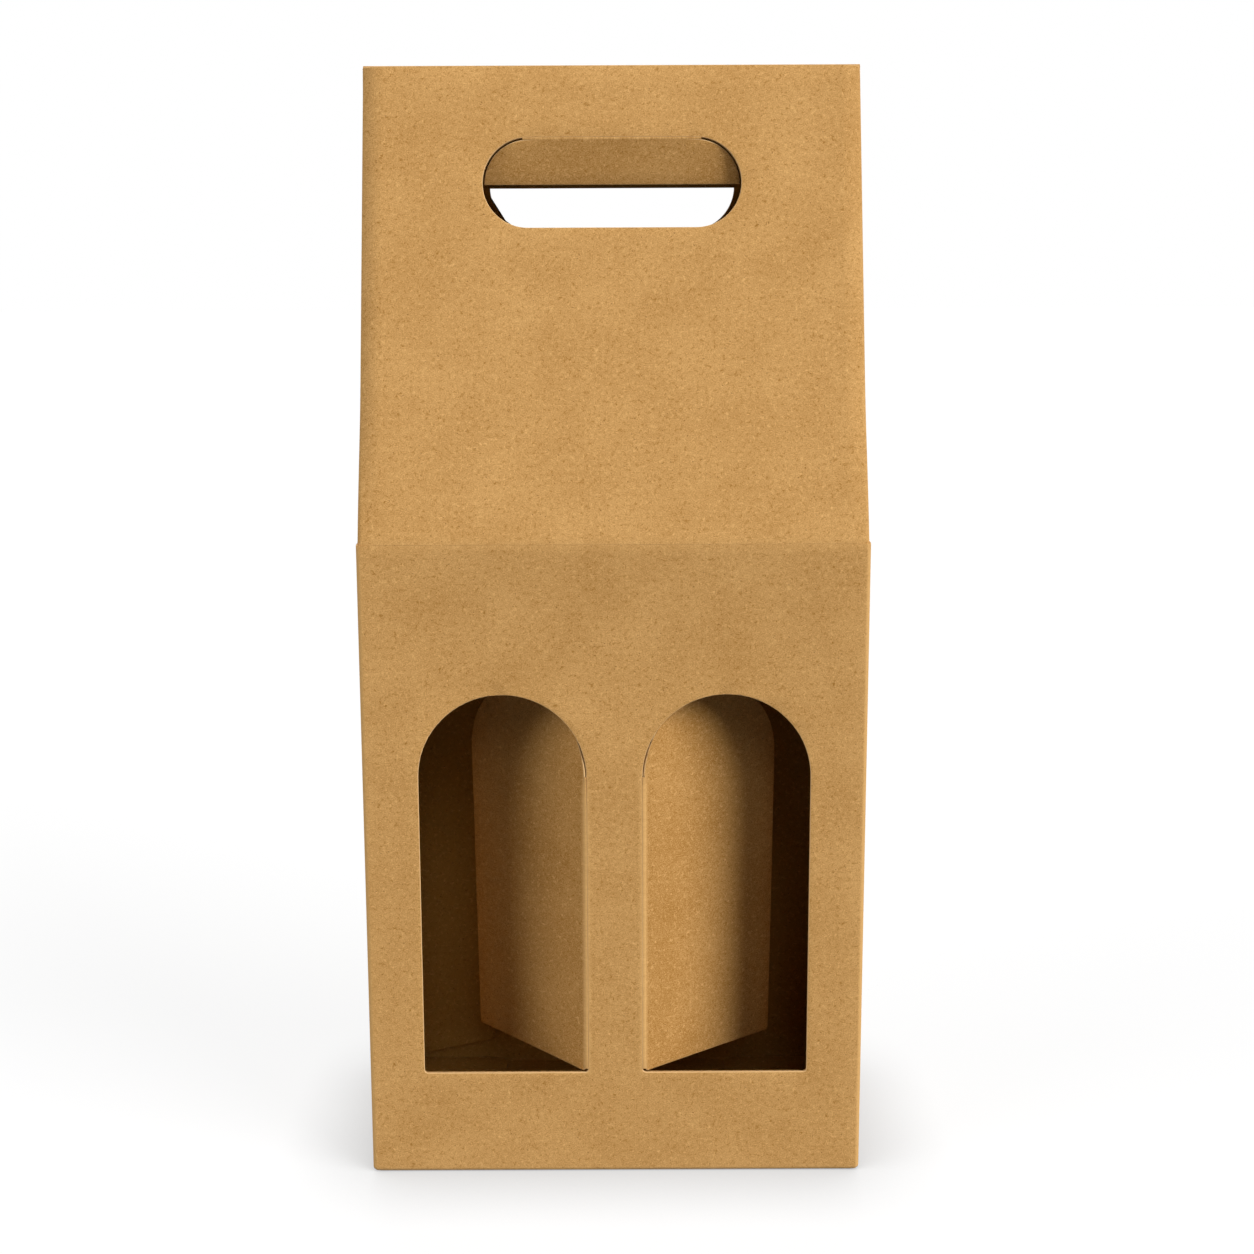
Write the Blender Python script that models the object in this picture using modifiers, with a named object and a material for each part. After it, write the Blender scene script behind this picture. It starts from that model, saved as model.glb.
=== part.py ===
"""Two-bottle carry carton of kraft corrugated board, in metres, +Z up, its front towards -Y.

The carton is one cut and creased sheet in use. Here each panel between two creases is a solid of its own,
and each moving one turns about the crease that carries it. The origin is the middle of the base.
"""

import math

import bmesh
import bpy
from mathutils import Matrix, Vector

MM = 0.001

# Board
BOARD = 1.5 * MM
CREASE_GAP = 0.3 * MM
CUT_GAP = 0.3 * MM
KRAFT_COLOUR = (0.52, 0.30, 0.10)
KRAFT_ROUGHNESS = 0.85

# Carton
WIDTH = 180 * MM
DEPTH = 90 * MM
SHOULDER_HEIGHT = 235 * MM
HEIGHT = 401 * MM
STRIP_DEPTH = 21.5 * MM
SHOULDER_STEP = 0.9 * MM
SIDE_TAPER = 1.1 * MM
LID_COVER = 1.0 * MM

# Windows and dividers
WINDOW_WIDTH = 60 * MM
WINDOW_SILL = 39 * MM
WINDOW_TOP = 181 * MM
SILL_CORNER = 1.2 * MM
POST_WIDTH = 20 * MM
LEFT_DIVIDER_FOLD = math.radians(44.5)
RIGHT_DIVIDER_FOLD = math.radians(35)

# Carrying holes
HOLE_WIDTH = 91 * MM
HOLE_HEIGHT = 32 * MM
HOLE_DROP = 26 * MM
HANDLE_FLAP_FOLD = math.radians(22)

# Tuck flap
TUCK_LENGTH = 18 * MM
TUCK_CLEARANCE = 0.9 * MM
TUCK_SIDE_CLEARANCE = 3 * MM
TUCK_TAPER = 11 * MM
TUCK_CORNER = 5 * MM
LID_SIDE_CLEARANCE = 0.5 * MM

# Gussets
GUSSET_TOP_DROP = 13 * MM
GUSSET_FOLD_INSET = 1.0 * MM
WING_FOOT = 2.0 * MM
WING_COLUMNS = 6
WING_ROWS = 10

# Glue tab
TAB_WIDTH = 38 * MM
TAB_MARGIN = 4 * MM
TAB_TAPER = math.radians(11.5)

# Snap-lock bottom
FLAP_SIDE_CLEARANCE = 2.5 * MM
JOGGLE_START = 1.8 * MM
JOGGLE_SLOPE = math.radians(30)
SIDE_FLAP_LENGTH = 45 * MM
SIDE_FLAP_END_CLEARANCE = 0.6 * MM
BACK_FLAP_LENGTH = 47 * MM
BACK_FLAP_TAPER = 4 * MM
TONGUE_WIDTH = 56 * MM
TONGUE_LENGTH = 20 * MM
TONGUE_CORNER = 10 * MM
NOTCH_CLEARANCE = 2 * MM
LEG_LENGTH = 74 * MM
LEG_TAPER = 7 * MM
LEG_CORNER = 14 * MM
FLAP_CORNER = 6 * MM

ARC_ERROR = 0.05 * MM
WELD_DISTANCE = 0.01 * MM

UP = Vector((0, 0, 1))
DOWN = -UP
FRONT = Vector((0, -1, 0))
BACK = -FRONT
RIGHT = Vector((1, 0, 0))
LEFT = -RIGHT

# The leaning panels rise by this much and run in by this much on each side.
ROOF_RISE = HEIGHT - SHOULDER_HEIGHT
ROOF_RUN = (DEPTH - STRIP_DEPTH) / 2
LEAN = math.atan2(ROOF_RUN, ROOF_RISE)
SLOPE_LENGTH = math.hypot(ROOF_RUN, ROOF_RISE)
ROOF_BASE_HALF = WIDTH / 2 - SHOULDER_STEP
ROOF_TOP_HALF = ROOF_BASE_HALF - SIDE_TAPER
HOLE_TOP = SLOPE_LENGTH - HOLE_DROP
HOLE_MIDDLE = HOLE_TOP - HOLE_HEIGHT / 2
LAYER = BOARD + CREASE_GAP

for old in list(bpy.data.objects):
    bpy.data.objects.remove(old)
PARTS = bpy.data.collections.new("wine_gift_box")
bpy.context.scene.collection.children.link(PARTS)


def slope(face):
    """Upward direction along the leaning panel on this face, -1 for the front and 1 for the back."""
    return Vector((0, -face * math.sin(LEAN), math.cos(LEAN)))


def slope_out(face):
    """Outward normal of the leaning panel on this face."""
    return Vector((0, face * math.cos(LEAN), math.sin(LEAN)))


def facing(origin, up, out):
    """Frame of a board: local Y runs up the board and local Z out of its outer face."""
    columns = Matrix((up.cross(out), up, out)).transposed()
    return Matrix.Translation(origin) @ columns.to_4x4()


def rounded(corners):
    """Closed outline through (x, y, radius) corners, each rounded by an arc."""
    points = []
    for index, (x, y, radius) in enumerate(corners):
        corner = Vector((x, y))
        if radius <= 0:
            points.append(corner)
            continue
        before = (Vector(corners[index - 1][:2]) - corner).normalized()
        after = (Vector(corners[(index + 1) % len(corners)][:2]) - corner).normalized()
        half = before.angle(after) / 2
        centre = corner + (before + after).normalized() * radius / math.sin(half)
        start = corner + before * radius / math.tan(half) - centre
        end = corner + after * radius / math.tan(half) - centre
        turn = math.pi - 2 * half
        steps = math.ceil(turn / (2 * math.acos(1 - ARC_ERROR / radius)))
        for step in range(steps + 1):
            share = step / steps
            arm = start * math.sin((1 - share) * turn) + end * math.sin(share * turn)
            points.append(centre + arm / math.sin(turn))
    return [p for i, p in enumerate(points) if (p - points[i - 1]).length > WELD_DISTANCE]


def rectangle(left, right, bottom, top, bottom_radius=0, top_radius=0):
    """Outline of a rectangle whose lower and upper corners have these radii."""
    return rounded(
        [
            (left, bottom, bottom_radius),
            (right, bottom, bottom_radius),
            (right, top, top_radius),
            (left, top, top_radius),
        ]
    )


def kraft(name):
    """Uncoated brown board."""
    material = bpy.data.materials.new(name + "_kraft")
    material.use_nodes = True
    shader = material.node_tree.nodes["Principled BSDF"]
    shader.inputs["Base Color"].default_value = (*KRAFT_COLOUR, 1)
    shader.inputs["Roughness"].default_value = KRAFT_ROUGHNESS
    shader.inputs["Metallic"].default_value = 0
    return material


def finish(part, name):
    """Put a finished solid in the parts collection and give it its board."""
    part.name = name
    part.data.name = name
    part.data.materials.clear()
    part.data.materials.append(kraft(name))
    PARTS.objects.link(part)
    return part


def board(name, frame, outline, holes=()):
    """Flat board in this frame, with its outer face at local z = 0 and its thickness behind it."""
    curve = bpy.data.curves.new(name, "CURVE")
    curve.dimensions = "2D"
    curve.fill_mode = "BOTH"
    curve.extrude = BOARD / 2
    for points in (outline, *holes):
        spline = curve.splines.new("POLY")
        spline.points.add(len(points) - 1)
        for point, (x, y) in zip(spline.points, points):
            point.co = (x, y, 0, 1)
        spline.use_cyclic_u = True
    flat = bpy.data.objects.new(name + "_outline", curve)
    bpy.context.scene.collection.objects.link(flat)
    bpy.context.view_layer.update()
    graph = bpy.context.evaluated_depsgraph_get()
    mesh = bpy.data.meshes.new_from_object(flat.evaluated_get(graph))
    bpy.data.objects.remove(flat)

    shape = bmesh.new()
    shape.from_mesh(mesh)
    bmesh.ops.remove_doubles(shape, verts=shape.verts, dist=WELD_DISTANCE)
    bmesh.ops.translate(shape, verts=shape.verts, vec=(0, 0, -BOARD / 2))
    bmesh.ops.recalc_face_normals(shape, faces=shape.faces)
    shape.to_mesh(mesh)
    shape.free()
    part = finish(bpy.data.objects.new(name, mesh), name)
    part.matrix_world = frame
    return part


def mitre(part, crease, along, towards):
    """Cut the board where the fold to its neighbour is halved.

    The two directions point from the crease into this board and into the neighbour.
    """
    normal = (along - towards).normalized()
    to_local = part.matrix_world.inverted()
    shape = bmesh.new()
    shape.from_mesh(part.data)
    bmesh.ops.bisect_plane(
        shape,
        geom=shape.verts[:] + shape.edges[:] + shape.faces[:],
        plane_co=to_local @ (crease + normal * CREASE_GAP / 2),
        plane_no=to_local.to_3x3() @ normal,
        dist=WELD_DISTANCE / 10,
        clear_inner=True,
    )
    bmesh.ops.holes_fill(shape, edges=[edge for edge in shape.edges if edge.is_boundary])
    shape.to_mesh(part.data)
    shape.free()


def joggle(part, stations):
    """Bend a board inwards along its length by (distance, height) stations, straight between them."""
    shape = bmesh.new()
    shape.from_mesh(part.data)
    for distance, _ in stations:
        bmesh.ops.bisect_plane(
            shape,
            geom=shape.verts[:] + shape.edges[:] + shape.faces[:],
            plane_co=(0, distance, 0),
            plane_no=(0, 1, 0),
            dist=WELD_DISTANCE / 10,
        )
    for vertex in shape.verts:
        vertex.co.z -= lift(vertex.co.y, stations)
    shape.to_mesh(part.data)
    shape.free()


def lift(distance, stations):
    """Height at this distance, held level before the first station and after the last one."""
    if distance <= stations[0][0]:
        return stations[0][1]
    for (start, low), (end, high) in zip(stations, stations[1:]):
        if distance <= end:
            return low + (high - low) * (distance - start) / (end - start)
    return stations[-1][1]


def hang(part, crease, axis, angle, parent=None):
    """Carry a board on an empty at its crease and turn it there by its resting fold."""
    pivot = bpy.data.objects.new(part.name + "_crease", None)
    pivot.empty_display_size = BOARD
    PARTS.objects.link(pivot)
    pivot.matrix_world = Matrix.Translation(crease)
    part.parent = pivot
    part.matrix_parent_inverse = pivot.matrix_world.inverted()
    pivot.matrix_world = Matrix.Translation(crease) @ Matrix.Rotation(angle, 4, axis)
    if parent:
        pivot.parent = parent
        pivot.matrix_parent_inverse = parent.matrix_world.inverted()
    return pivot


def window(side, clearance=0):
    """Outline of one arched window, or of the divider cut out of it when there is a clearance."""
    near = POST_WIDTH / 2 + (CREASE_GAP if clearance else 0)
    far = POST_WIDTH / 2 + WINDOW_WIDTH - clearance
    left, right = sorted((side * near, side * far))
    bottom = WINDOW_SILL + clearance
    radius = WINDOW_WIDTH / 2 - clearance
    return rectangle(left, right, bottom, WINDOW_TOP - clearance, SILL_CORNER, radius)


def carrying_hole():
    """Outline of a carrying hole in the leaning panel's own plane."""
    half = HOLE_WIDTH / 2
    radius = HOLE_HEIGHT / 2
    return rectangle(-half, half, HOLE_TOP - HOLE_HEIGHT, HOLE_TOP, radius, radius)


def body_panel(name, out, half_width, holes=()):
    """Upright panel between two corner creases, the base crease and the shoulder."""
    distance = WIDTH / 2 if out.x else DEPTH / 2
    origin = out * distance
    outline = rectangle(-half_width, half_width, 0, SHOULDER_HEIGHT)
    panel = board(name, facing(origin, UP, out), outline, holes)
    across = UP.cross(out)
    for side in (-1, 1):
        mitre(panel, origin + across * side * half_width, -across * side, -out)
    mitre(panel, origin, UP, -out)
    return panel


def make_body():
    """The four upright panels and the tab that closes them at the left back corner."""
    windows = [window(side) for side in (-1, 1)]
    for name, face, holes in (("front_panel", -1, windows), ("back_panel", 1, ())):
        panel = body_panel(name, BACK * face, WIDTH / 2, holes)
        crease = Vector((0, face * DEPTH / 2, SHOULDER_HEIGHT))
        mitre(panel, crease, DOWN, slope(face))
    for name, side in (("left_side_panel", -1), ("right_side_panel", 1)):
        panel = body_panel(name, RIGHT * side, DEPTH / 2)
        crease = Vector((side * WIDTH / 2, 0, SHOULDER_HEIGHT))
        mitre(panel, crease, DOWN, (gusset_apex(side) - crease).normalized())

    root = WIDTH / 2 - BOARD - CREASE_GAP
    tip = root - TAB_WIDTH
    drop = TAB_WIDTH * math.tan(TAB_TAPER)
    face = DEPTH / 2 - BOARD - CREASE_GAP
    top = SHOULDER_HEIGHT - TAB_MARGIN
    outline = rounded(
        [
            (tip, TAB_MARGIN + drop, SILL_CORNER),
            (root, TAB_MARGIN, 0),
            (root, top, 0),
            (tip, top - drop, SILL_CORNER),
        ]
    )
    board("glue_tab", facing(BACK * face, UP, BACK), outline)


def make_dividers():
    """The window cut-outs, folded inwards on creases at the post."""
    front = FRONT * DEPTH / 2
    for name, side, fold in (
        ("left_divider_flap", -1, LEFT_DIVIDER_FOLD),
        ("right_divider_flap", 1, RIGHT_DIVIDER_FOLD),
    ):
        flap = board(name, facing(front, UP, FRONT), window(side, CUT_GAP))
        crease = front + BACK * BOARD
        crease.x = side * (POST_WIDTH + CREASE_GAP) / 2
        crease.z = (WINDOW_SILL + WINDOW_TOP) / 2
        hang(flap, crease, UP, side * fold)


def make_roof():
    """The two leaning panels and the half cut-outs of their carrying holes."""
    for name, face in (("front", -1), ("back", 1)):
        shoulder = Vector((0, face * DEPTH / 2, SHOULDER_HEIGHT))
        frame = facing(shoulder, slope(face), slope_out(face))
        length = SLOPE_LENGTH - (LID_COVER / math.cos(LEAN) if face < 0 else 0)
        outline = rounded(
            [
                (-ROOF_BASE_HALF, 0, 0),
                (ROOF_BASE_HALF, 0, 0),
                (ROOF_TOP_HALF, length, 0),
                (-ROOF_TOP_HALF, length, 0),
            ]
        )
        panel = board(name + "_roof_panel", frame, outline, [carrying_hole()])
        mitre(panel, shoulder, slope(face), DOWN)
        if face > 0:
            mitre(panel, lid_crease(), -slope(face), FRONT)

        half = HOLE_WIDTH / 2 - CUT_GAP
        radius = HOLE_HEIGHT / 2 - CUT_GAP
        cut_out = rectangle(-half, half, HOLE_MIDDLE, HOLE_TOP - CUT_GAP, 0, radius)
        flap = board(name + "_handle_flap", frame, cut_out)
        crease = frame @ Vector((0, HOLE_TOP - CREASE_GAP / 2, -BOARD))
        hang(flap, crease, RIGHT, -face * HANDLE_FLAP_FOLD)


def lid_crease():
    """Fold between the back leaning panel and the top strip, on the outer faces."""
    return Vector((0, STRIP_DEPTH / 2, HEIGHT))


def tuck_crease():
    """Fold between the top strip and the tuck flap, on the outer faces."""
    inset = (BOARD + TUCK_CLEARANCE) / math.cos(LEAN)
    return Vector((0, inset - STRIP_DEPTH / 2, HEIGHT))


def make_lid():
    """The top strip, hinged on the back leaning panel, and the tuck flap behind the front one."""
    back = lid_crease()
    front = tuck_crease()
    half = ROOF_TOP_HALF - LID_SIDE_CLEARANCE
    strip_length = back.y - front.y
    strip = board("top_strip", facing(back, FRONT, UP), rectangle(-half, half, 0, strip_length))
    mitre(strip, back, FRONT, -slope(1))
    mitre(strip, front, BACK, -slope(-1))
    lid = hang(strip, back, RIGHT, 0)

    root = ROOF_TOP_HALF - TUCK_SIDE_CLEARANCE
    tip = root - TUCK_TAPER
    outline = rounded(
        [
            (-tip, -TUCK_LENGTH, TUCK_CORNER),
            (tip, -TUCK_LENGTH, TUCK_CORNER),
            (root, 0, 0),
            (-root, 0, 0),
        ]
    )
    tuck = board("tuck_flap", facing(front, slope(-1), slope_out(-1)), outline)
    mitre(tuck, front, -slope(-1), BACK)
    inner = front + Vector((0, BOARD * (1 - math.sin(LEAN)) / math.cos(LEAN), -BOARD))
    hang(tuck, inner, RIGHT, 0, lid)


def gusset_edge(side, face):
    """Start and unit direction of a leaning panel's side edge, where a gusset wing folds off it."""
    foot = Vector((side * ROOF_BASE_HALF, face * DEPTH / 2, SHOULDER_HEIGHT))
    head = Vector((side * ROOF_TOP_HALF, face * STRIP_DEPTH / 2, HEIGHT))
    return foot, (head - foot).normalized()


def centre_fold(side, along):
    """Point of a gusset's centre fold, which lies in the middle plane of the carton.

    It is half the carton's depth away from the side edge, square to it at this distance along it.
    """
    foot, edge = gusset_edge(side, -1)
    start = foot + edge * along
    inward = (LEFT * side - edge * (LEFT * side).dot(edge)).normalized()
    across = inward.cross(edge) * side
    width = DEPTH / 2
    reach = math.hypot(inward.y, across.y)
    angle = math.asin(-start.y / width / reach) - math.atan2(inward.y, across.y)
    return start + (inward * math.cos(angle) + across * math.sin(angle)) * width


def gusset_apex(side):
    """Top of the triangle that stands on a side panel."""
    return centre_fold(side, DEPTH / 2)


def make_gusset_triangle(name, side):
    """Triangle over a side panel, leaning inwards between the two diagonal folds."""
    crease = Vector((side * WIDTH / 2, 0, SHOULDER_HEIGHT))
    rise = gusset_apex(side) - crease
    up = rise.normalized()
    out = BACK.cross(up) * side
    base = DEPTH / 2 - BOARD - 2 * CREASE_GAP
    tip = rise.length * base / (DEPTH / 2)
    outline = rounded([(-base, 0, 0), (base, 0, 0), (0, tip, 0)])
    triangle = board(name, facing(crease, up, out), outline)
    mitre(triangle, crease, up, DOWN)


def make_gusset_wing(name, side, face):
    """Wing between a leaning panel's side edge and the gusset's centre fold, a ruled and curved board."""
    foot, edge = gusset_edge(side, face)
    inset = -slope_out(face) * (1.5 * BOARD + CREASE_GAP) - RIGHT * side * GUSSET_FOLD_INSET
    middle = Vector((0, face * (BOARD / 2 + CREASE_GAP), 0))
    top = SLOPE_LENGTH - GUSSET_TOP_DROP
    outer = [foot + inset + edge * along for along in (WING_FOOT, top)]
    inner = [centre_fold(side, along) for along in (DEPTH / 2 + WING_FOOT, top)]

    shape = bmesh.new()
    bmesh.ops.create_grid(shape, x_segments=WING_COLUMNS, y_segments=WING_ROWS, size=0.5)
    for vertex in shape.verts:
        across, along = vertex.co.x + 0.5, vertex.co.y + 0.5
        on_edge = outer[0].lerp(outer[1], along)
        on_fold = inner[0].lerp(inner[1], along) + middle
        vertex.co = on_edge.lerp(on_fold, across)
    mesh = bpy.data.meshes.new(name)
    shape.to_mesh(mesh)
    shape.free()
    wing = finish(bpy.data.objects.new(name, mesh), name)
    thickness = wing.modifiers.new("board", "SOLIDIFY")
    thickness.thickness = BOARD
    thickness.offset = 0


def make_gussets():
    """The bellows folds that close both sides of the roof."""
    for side_name, side in (("left", -1), ("right", 1)):
        make_gusset_triangle(side_name + "_gusset_triangle", side)
        for face_name, face in (("front", -1), ("back", 1)):
            make_gusset_wing(f"{side_name}_{face_name}_gusset_wing", side, face)


def joggle_to(height, start=JOGGLE_START):
    """Stations that lift a bottom flap from its crease to this height."""
    return [(start, 0), (start + height / math.tan(JOGGLE_SLOPE), height)]


def make_bottom():
    """The four flaps of the snap-lock bottom, in the order they are folded."""
    half = WIDTH / 2 - FLAP_SIDE_CLEARANCE
    notch = TONGUE_WIDTH / 2 + NOTCH_CLEARANCE
    tongue_end = BACK_FLAP_LENGTH + TONGUE_LENGTH
    tongue_rise = 3 * LAYER / math.tan(JOGGLE_SLOPE)
    notch_depth = DEPTH - BACK_FLAP_LENGTH - tongue_rise - CREASE_GAP
    leg = half - LEG_TAPER
    front_outline = rounded(
        [
            (-half, 0, 0),
            (half, 0, 0),
            (leg, LEG_LENGTH, LEG_CORNER),
            (notch, LEG_LENGTH, LEG_CORNER),
            (notch, notch_depth, NOTCH_CLEARANCE),
            (-notch, notch_depth, NOTCH_CLEARANCE),
            (-notch, LEG_LENGTH, LEG_CORNER),
            (-leg, LEG_LENGTH, LEG_CORNER),
        ]
    )
    front = board("front_bottom_flap", facing(FRONT * DEPTH / 2, BACK, DOWN), front_outline)
    mitre(front, FRONT * DEPTH / 2, BACK, UP)
    front_stations = joggle_to(2 * LAYER)
    joggle(front, front_stations)

    relief = front_stations[-1][0] + CREASE_GAP
    side_stations = joggle_to(LAYER)
    for name, side in (("left_bottom_flap", -1), ("right_bottom_flap", 1)):
        towards_back = DEPTH / 2 - BOARD - SIDE_FLAP_END_CLEARANCE
        towards_front = DEPTH / 2 - relief
        outline = rounded(
            [
                (side * towards_front, 0, 0),
                (-side * towards_back, 0, 0),
                (-side * towards_back, SIDE_FLAP_LENGTH, FLAP_CORNER),
                (side * towards_front, SIDE_FLAP_LENGTH, FLAP_CORNER),
            ]
        )
        root = RIGHT * side * WIDTH / 2
        flap = board(name, facing(root, RIGHT * -side, DOWN), outline)
        mitre(flap, root, RIGHT * -side, UP)
        joggle(flap, side_stations)

    shoulder = WIDTH / 2 - side_stations[-1][0] - CREASE_GAP
    tongue = TONGUE_WIDTH / 2
    back_outline = rounded(
        [
            (-shoulder, 0, 0),
            (shoulder, 0, 0),
            (shoulder - BACK_FLAP_TAPER, BACK_FLAP_LENGTH, FLAP_CORNER),
            (tongue, BACK_FLAP_LENGTH, FLAP_CORNER),
            (tongue, tongue_end, TONGUE_CORNER),
            (-tongue, tongue_end, TONGUE_CORNER),
            (-tongue, BACK_FLAP_LENGTH, FLAP_CORNER),
            (BACK_FLAP_TAPER - shoulder, BACK_FLAP_LENGTH, FLAP_CORNER),
        ]
    )
    back = board("back_bottom_flap", facing(BACK * DEPTH / 2, FRONT, DOWN), back_outline)
    mitre(back, BACK * DEPTH / 2, FRONT, UP)
    joggle(back, joggle_to(3 * LAYER, BACK_FLAP_LENGTH))


make_body()
make_dividers()
make_roof()
make_lid()
make_gussets()
make_bottom()
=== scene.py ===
"""Visual model of a two-bottle carrying carton of kraft corrugated board.

Metres, +Z up, the front towards -Y, the origin in the middle of the base. The carton is one cut and creased
sheet. Each panel between two creases is a board of its own that carries half of each fold beside it, and a
strip of board bends across each crease that moves.
"""

import logging
import math
from dataclasses import dataclass, field
from enum import Enum
from typing import Callable, Sequence

import bmesh
import bpy
from mathutils import Matrix, Vector, noise


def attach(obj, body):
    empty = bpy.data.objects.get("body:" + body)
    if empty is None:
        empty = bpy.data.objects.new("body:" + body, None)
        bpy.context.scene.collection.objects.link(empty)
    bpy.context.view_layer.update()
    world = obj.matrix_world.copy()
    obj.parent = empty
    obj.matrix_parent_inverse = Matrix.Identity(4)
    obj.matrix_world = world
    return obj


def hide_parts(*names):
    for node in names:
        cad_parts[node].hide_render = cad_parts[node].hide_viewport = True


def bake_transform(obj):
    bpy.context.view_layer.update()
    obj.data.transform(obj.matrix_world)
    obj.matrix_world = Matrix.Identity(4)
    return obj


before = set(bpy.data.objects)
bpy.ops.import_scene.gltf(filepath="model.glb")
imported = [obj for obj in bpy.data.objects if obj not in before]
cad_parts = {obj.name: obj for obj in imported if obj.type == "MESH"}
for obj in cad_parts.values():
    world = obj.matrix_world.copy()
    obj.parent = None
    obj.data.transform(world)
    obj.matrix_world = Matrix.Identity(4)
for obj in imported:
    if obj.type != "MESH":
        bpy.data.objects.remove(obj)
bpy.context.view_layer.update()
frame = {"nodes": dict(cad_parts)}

LOG = logging.getLogger("carton")

MM = 0.001
HAIRLINE = 0.02 * MM
TINY = 0.0005 * MM
PIVOT_CORE = 0.06 * MM
SHARP_ANGLE = math.radians(40)
UP = Vector((0, 0, 1))
BACK = Vector((0, 1, 0))
RIGHT = Vector((1, 0, 0))

Corner = tuple[float, float, float]
Line = tuple[Vector, Vector]


class Side(Enum):
    """Which side of the carton a piece is on, seen from the front."""

    LEFT = -1
    RIGHT = 1


class Face(Enum):
    """Whether a piece belongs to the front or the back of the carton."""

    FRONT = -1
    BACK = 1


class Body(Enum):
    """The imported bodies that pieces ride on."""

    CARTON = "carton"
    LEFT_DIVIDER = "left_divider"
    RIGHT_DIVIDER = "right_divider"
    FRONT_HANDLE = "front_handle"
    BACK_HANDLE = "back_handle"
    LID = "lid"
    TUCK = "tuck"


@dataclass(frozen=True)
class Sizes:
    """Sizes of the folded carton that its sub-assemblies share."""

    board: float = 1.5 * MM
    fold_radius: float = 1.8 * MM
    gap: float = 0.3 * MM
    width: float = 180 * MM
    depth: float = 90 * MM
    shoulder: float = 235 * MM
    height: float = 401 * MM
    strip_depth: float = 21.5 * MM
    shoulder_step: float = 0.9 * MM
    side_taper: float = 1.1 * MM
    shoulder_radius: float = 34 * MM

    @property
    def lean(self) -> float:
        """Angle of the leaning panels from upright."""
        return math.atan2((self.depth - self.strip_depth) / 2, self.height - self.shoulder)

    @property
    def slope(self) -> float:
        """Length of a leaning panel from the shoulder to the top, along its outer face."""
        return math.hypot((self.depth - self.strip_depth) / 2, self.height - self.shoulder)

    @property
    def roof_base(self) -> float:
        """Half the width of a leaning panel at the shoulder."""
        return self.width / 2 - self.shoulder_step

    @property
    def roof_top(self) -> float:
        """Half the width of a leaning panel at the top."""
        return self.roof_base - self.side_taper

    def up_slope(self, face: Face) -> Vector:
        """Upward direction along the leaning panel on this face."""
        return Vector((0, -face.value * math.sin(self.lean), math.cos(self.lean)))

    def out_slope(self, face: Face) -> Vector:
        """Outward normal of the leaning panel on this face."""
        return Vector((0, face.value * math.cos(self.lean), math.sin(self.lean)))

    @property
    def lid_turn(self) -> float:
        """Angle of the folds on both sides of the top strip."""
        return math.pi / 2 - self.lean

    @property
    def lid_reach(self) -> float:
        """Distance from the middle of the lid's fold at which its round begins."""
        return self.fold_radius * math.tan(self.lid_turn / 2)

    def lid_crease(self) -> Vector:
        """Middle of the fold between the back leaning panel and the top strip, on the outer faces."""
        return Vector((0, self.strip_depth / 2, self.height))


SIZES = Sizes()


def facing(origin: Vector, up: Vector, out: Vector) -> Matrix:
    """Give the frame of a board.

    Args:
        origin: Where the board's own origin lies.
        up: Direction of the board's own Y.
        out: Direction out of the board's outer face, its own Z.

    Returns:
        The matrix from the flat board to the carton.
    """
    columns = Matrix((up.cross(out), up, out)).transposed()
    return Matrix.Translation(origin) @ columns.to_4x4()


def ramp(value: float, start: float, end: float) -> float:
    """Rise smoothly from 0 at start to 1 at end."""
    share = min(1.0, max(0.0, (value - start) / (end - start)))
    return share * share * (3 - 2 * share)


# Bending


@dataclass(frozen=True)
class Arc:
    """One stretch of a bent section: its length on the outer face and how far it turns inwards."""

    length: float
    turn: float


def walk(arcs: Sequence[Arc], distance: float) -> tuple[float, float, float]:
    """Follow a chain of arcs along the outer face.

    Args:
        arcs: The chain, which starts level.
        distance: How far to go. Past the chain's end the way goes on straight.

    Returns:
        How far it ran, how far it rose, and the angle by which it has turned down.
    """
    run = rise = heading = 0.0
    for arc in (*arcs, Arc(math.inf, 0)):
        step = min(distance, arc.length)
        turn = arc.turn * step / arc.length if arc.turn else 0.0
        if abs(turn) < 1e-7:
            run += step * math.cos(heading)
            rise -= step * math.sin(heading)
        else:
            radius = step / turn
            run += radius * (math.sin(heading + turn) - math.sin(heading))
            rise += radius * (math.cos(heading + turn) - math.cos(heading))
        heading += turn
        distance -= step
        if distance <= 0:
            break
    return run, rise, heading


@dataclass(frozen=True)
class Bend:
    """Something that bends a flat board beyond a straight line.

    point is on the line and outward points across it, out of the board.
    """

    point: tuple[float, float]
    outward: tuple[float, float]

    def past(self, spot: Vector) -> float:
        """Distance of a flat spot beyond the line."""
        x, y = self.point
        return (spot.x - x) * self.outward[0] + (spot.y - y) * self.outward[1]

    def line(self, distance: float) -> Line:
        """The line at this distance, as a point and a normal."""
        normal = Vector((*self.outward, 0))
        return Vector((*self.point, 0)) + normal * distance, normal

    def stations(self) -> list[float]:
        """Distances at which the board is divided so that it can bend."""
        return []

    def end(self) -> float | None:
        """Distance at which the board ends, or None where the outline ends it."""
        return None

    def place(self, spot: Vector) -> Vector:
        """Where a spot of the flat board goes."""
        return spot

    def stretch(self, spot: Vector) -> float:
        """How much the outer face is stretched there, from 0 to 1."""
        return 0.0

    def settle(self, spot: Vector, start: float, arcs: Sequence[Arc]) -> Vector:
        """Carry a spot round a chain of arcs that begins at this distance.

        Args:
            spot: A place on the flat board.
            start: Distance at which the chain begins.
            arcs: The chain.

        Returns:
            Where the spot goes.
        """
        beyond = self.past(spot) - start
        if beyond <= 0:
            return spot
        run, rise, heading = walk(arcs, beyond)
        across = run - beyond + spot.z * math.sin(heading)
        height = rise + spot.z * math.cos(heading)
        return Vector((spot.x + self.outward[0] * across, spot.y + self.outward[1] * across, height))


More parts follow.
